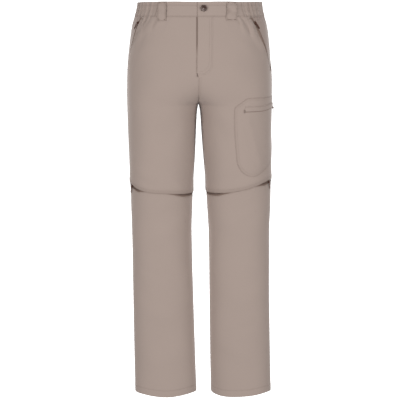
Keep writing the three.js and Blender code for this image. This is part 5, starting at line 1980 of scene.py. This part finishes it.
@dataclass
class Studio:
    """A plain pale sweep, soft lights and the camera at the photograph's view."""

    floor: float = -1.16
    camera_at: tuple[float, float, float] = (0.0013, -3.0, 0.005)
    tilt: float = 9.844
    focal_pixels: float = 1108.0
    image_width: float = 400.0
    sensor: float = 36.0

    LIGHTS = (
        ("front", (-0.2, -3.8, 0.1), 1.4, 38.0),
        ("left_side", (-2.6, -2.6, -0.4), 1.2, 43.5),
        ("right_side", (2.6, -2.6, -0.4), 1.2, 43.0),
        ("back_left", (-1.9, 3.1, -0.2), 1.4, 60.0),
        ("back_right", (1.9, 3.1, -0.2), 1.4, 60.0),
    )
    TARGET = Vector((0, 0, -0.6))
    WHITE = (1, 1, 1, 1)

    def build(self) -> None:
        """Builds the sweep, the lights and the camera."""
        self._sweep()
        for light in self.LIGHTS:
            self._light(*light)
        world = bpy.data.worlds.new("studio_air")
        world.use_nodes = True
        air = world.node_tree.nodes["Background"]
        air.inputs["Color"].default_value = self.WHITE
        air.inputs["Strength"].default_value = 0.335
        bpy.context.scene.world = world
        bpy.context.scene.view_settings.view_transform = "Standard"
        self._camera()

    def _sweep(self) -> None:
        """Builds the round floor, which curves up into a wall."""
        reach, radius, rise, steps = 3.6, 1.2, 5.0, 72
        turn = np.linspace(0, math.pi / 2, 16)
        profile = [(0.01, self.floor)]
        profile += [(reach + radius * math.sin(t), self.floor + radius * (1 - math.cos(t))) for t in turn]
        profile.append((reach + radius, self.floor + rise))
        ways = [2 * math.pi * n / steps for n in range(steps)]
        points = [(r * math.cos(way), r * math.sin(way), z) for way in ways for r, z in profile]
        count = len(profile)
        corners = [(n * count, (n + 1) % steps * count) for n in range(steps)]
        faces = [(a + n, a + n + 1, b + n + 1, b + n) for a, b in corners for n in range(count - 1)]
        faces.append(tuple(a for a, _ in corners))
        sweep = meshed("studio_sweep", np.array(points), faces)
        graph = Graph("studio_paper")
        tone = graph.noise(graph.object_place(), 3.0, 2.0)
        paper = graph.blend(tone, (0.93, 0.93, 0.93, 1.0), (0.97, 0.97, 0.97, 1.0))
        graph.finish(Base_Color=paper, Roughness=0.9, Emission_Color=self.WHITE, Emission_Strength=1.0)
        sweep.data.materials.append(graph.material)
        sweep.visible_diffuse = sweep.visible_glossy = False

    def _light(self, name: str, at: tuple, size: float, power: float) -> None:
        """Adds a soft square light that looks at the middle of the garment."""
        data = bpy.data.lights.new(name, "AREA")
        data.shape, data.size, data.energy = "SQUARE", size, power
        light = added(name, data)
        light.location = at
        light.rotation_euler = (self.TARGET - Vector(at)).to_track_quat("-Z", "Y").to_euler()

    def _camera(self) -> None:
        """Adds the camera."""
        data = bpy.data.cameras.new("camera")
        data.sensor_width = self.sensor
        data.lens = self.focal_pixels / self.image_width * self.sensor
        camera = added("camera", data)
        camera.location = self.camera_at
        camera.rotation_euler = (math.radians(90 - self.tilt), 0, 0)
        bpy.context.scene.camera = camera


PULLS = (
    ("hand_pocket_right", "hand_pull_right", R, 6.4, 8.5),
    ("hand_pocket_left", "hand_pull_left", L, 6.4, 8.5),
    ("knee_right", "knee_pull_right", R, 8.5, 6.4),
    ("knee_left", "knee_pull_left", L, 8.5, 6.4),
    ("cargo", "cargo_pull", L, 8.5, 6.4),
)


def main() -> None:
    """Builds the garment piece by piece, then the studio."""
    atelier = Atelier(Wardrobe())
    legs = UpperLegs(atelier)
    leg_sewing, trim_sewing = Sewing("leg_stitching"), Sewing("trim_stitching")
    legs.build(leg_sewing)
    LowerLegs(atelier).build(leg_sewing)
    KneeZips(atelier).build()
    Waistband(atelier).build(trim_sewing)
    BeltLoops(atelier).build(trim_sewing)
    Fly(atelier).build(trim_sewing)
    HandPockets(atelier, legs).build(trim_sewing)
    CargoPocket(atelier, legs).build(trim_sewing)
    for sewing in (leg_sewing, trim_sewing):
        atelier.dress(sewing.build(), atelier.wardrobe.thread, Slot.SHELL)
    WaistButton(atelier).build()
    for pull in PULLS:
        Pull(atelier, *pull).build()
    Studio().build()


if __name__ == "__main__":
    main()
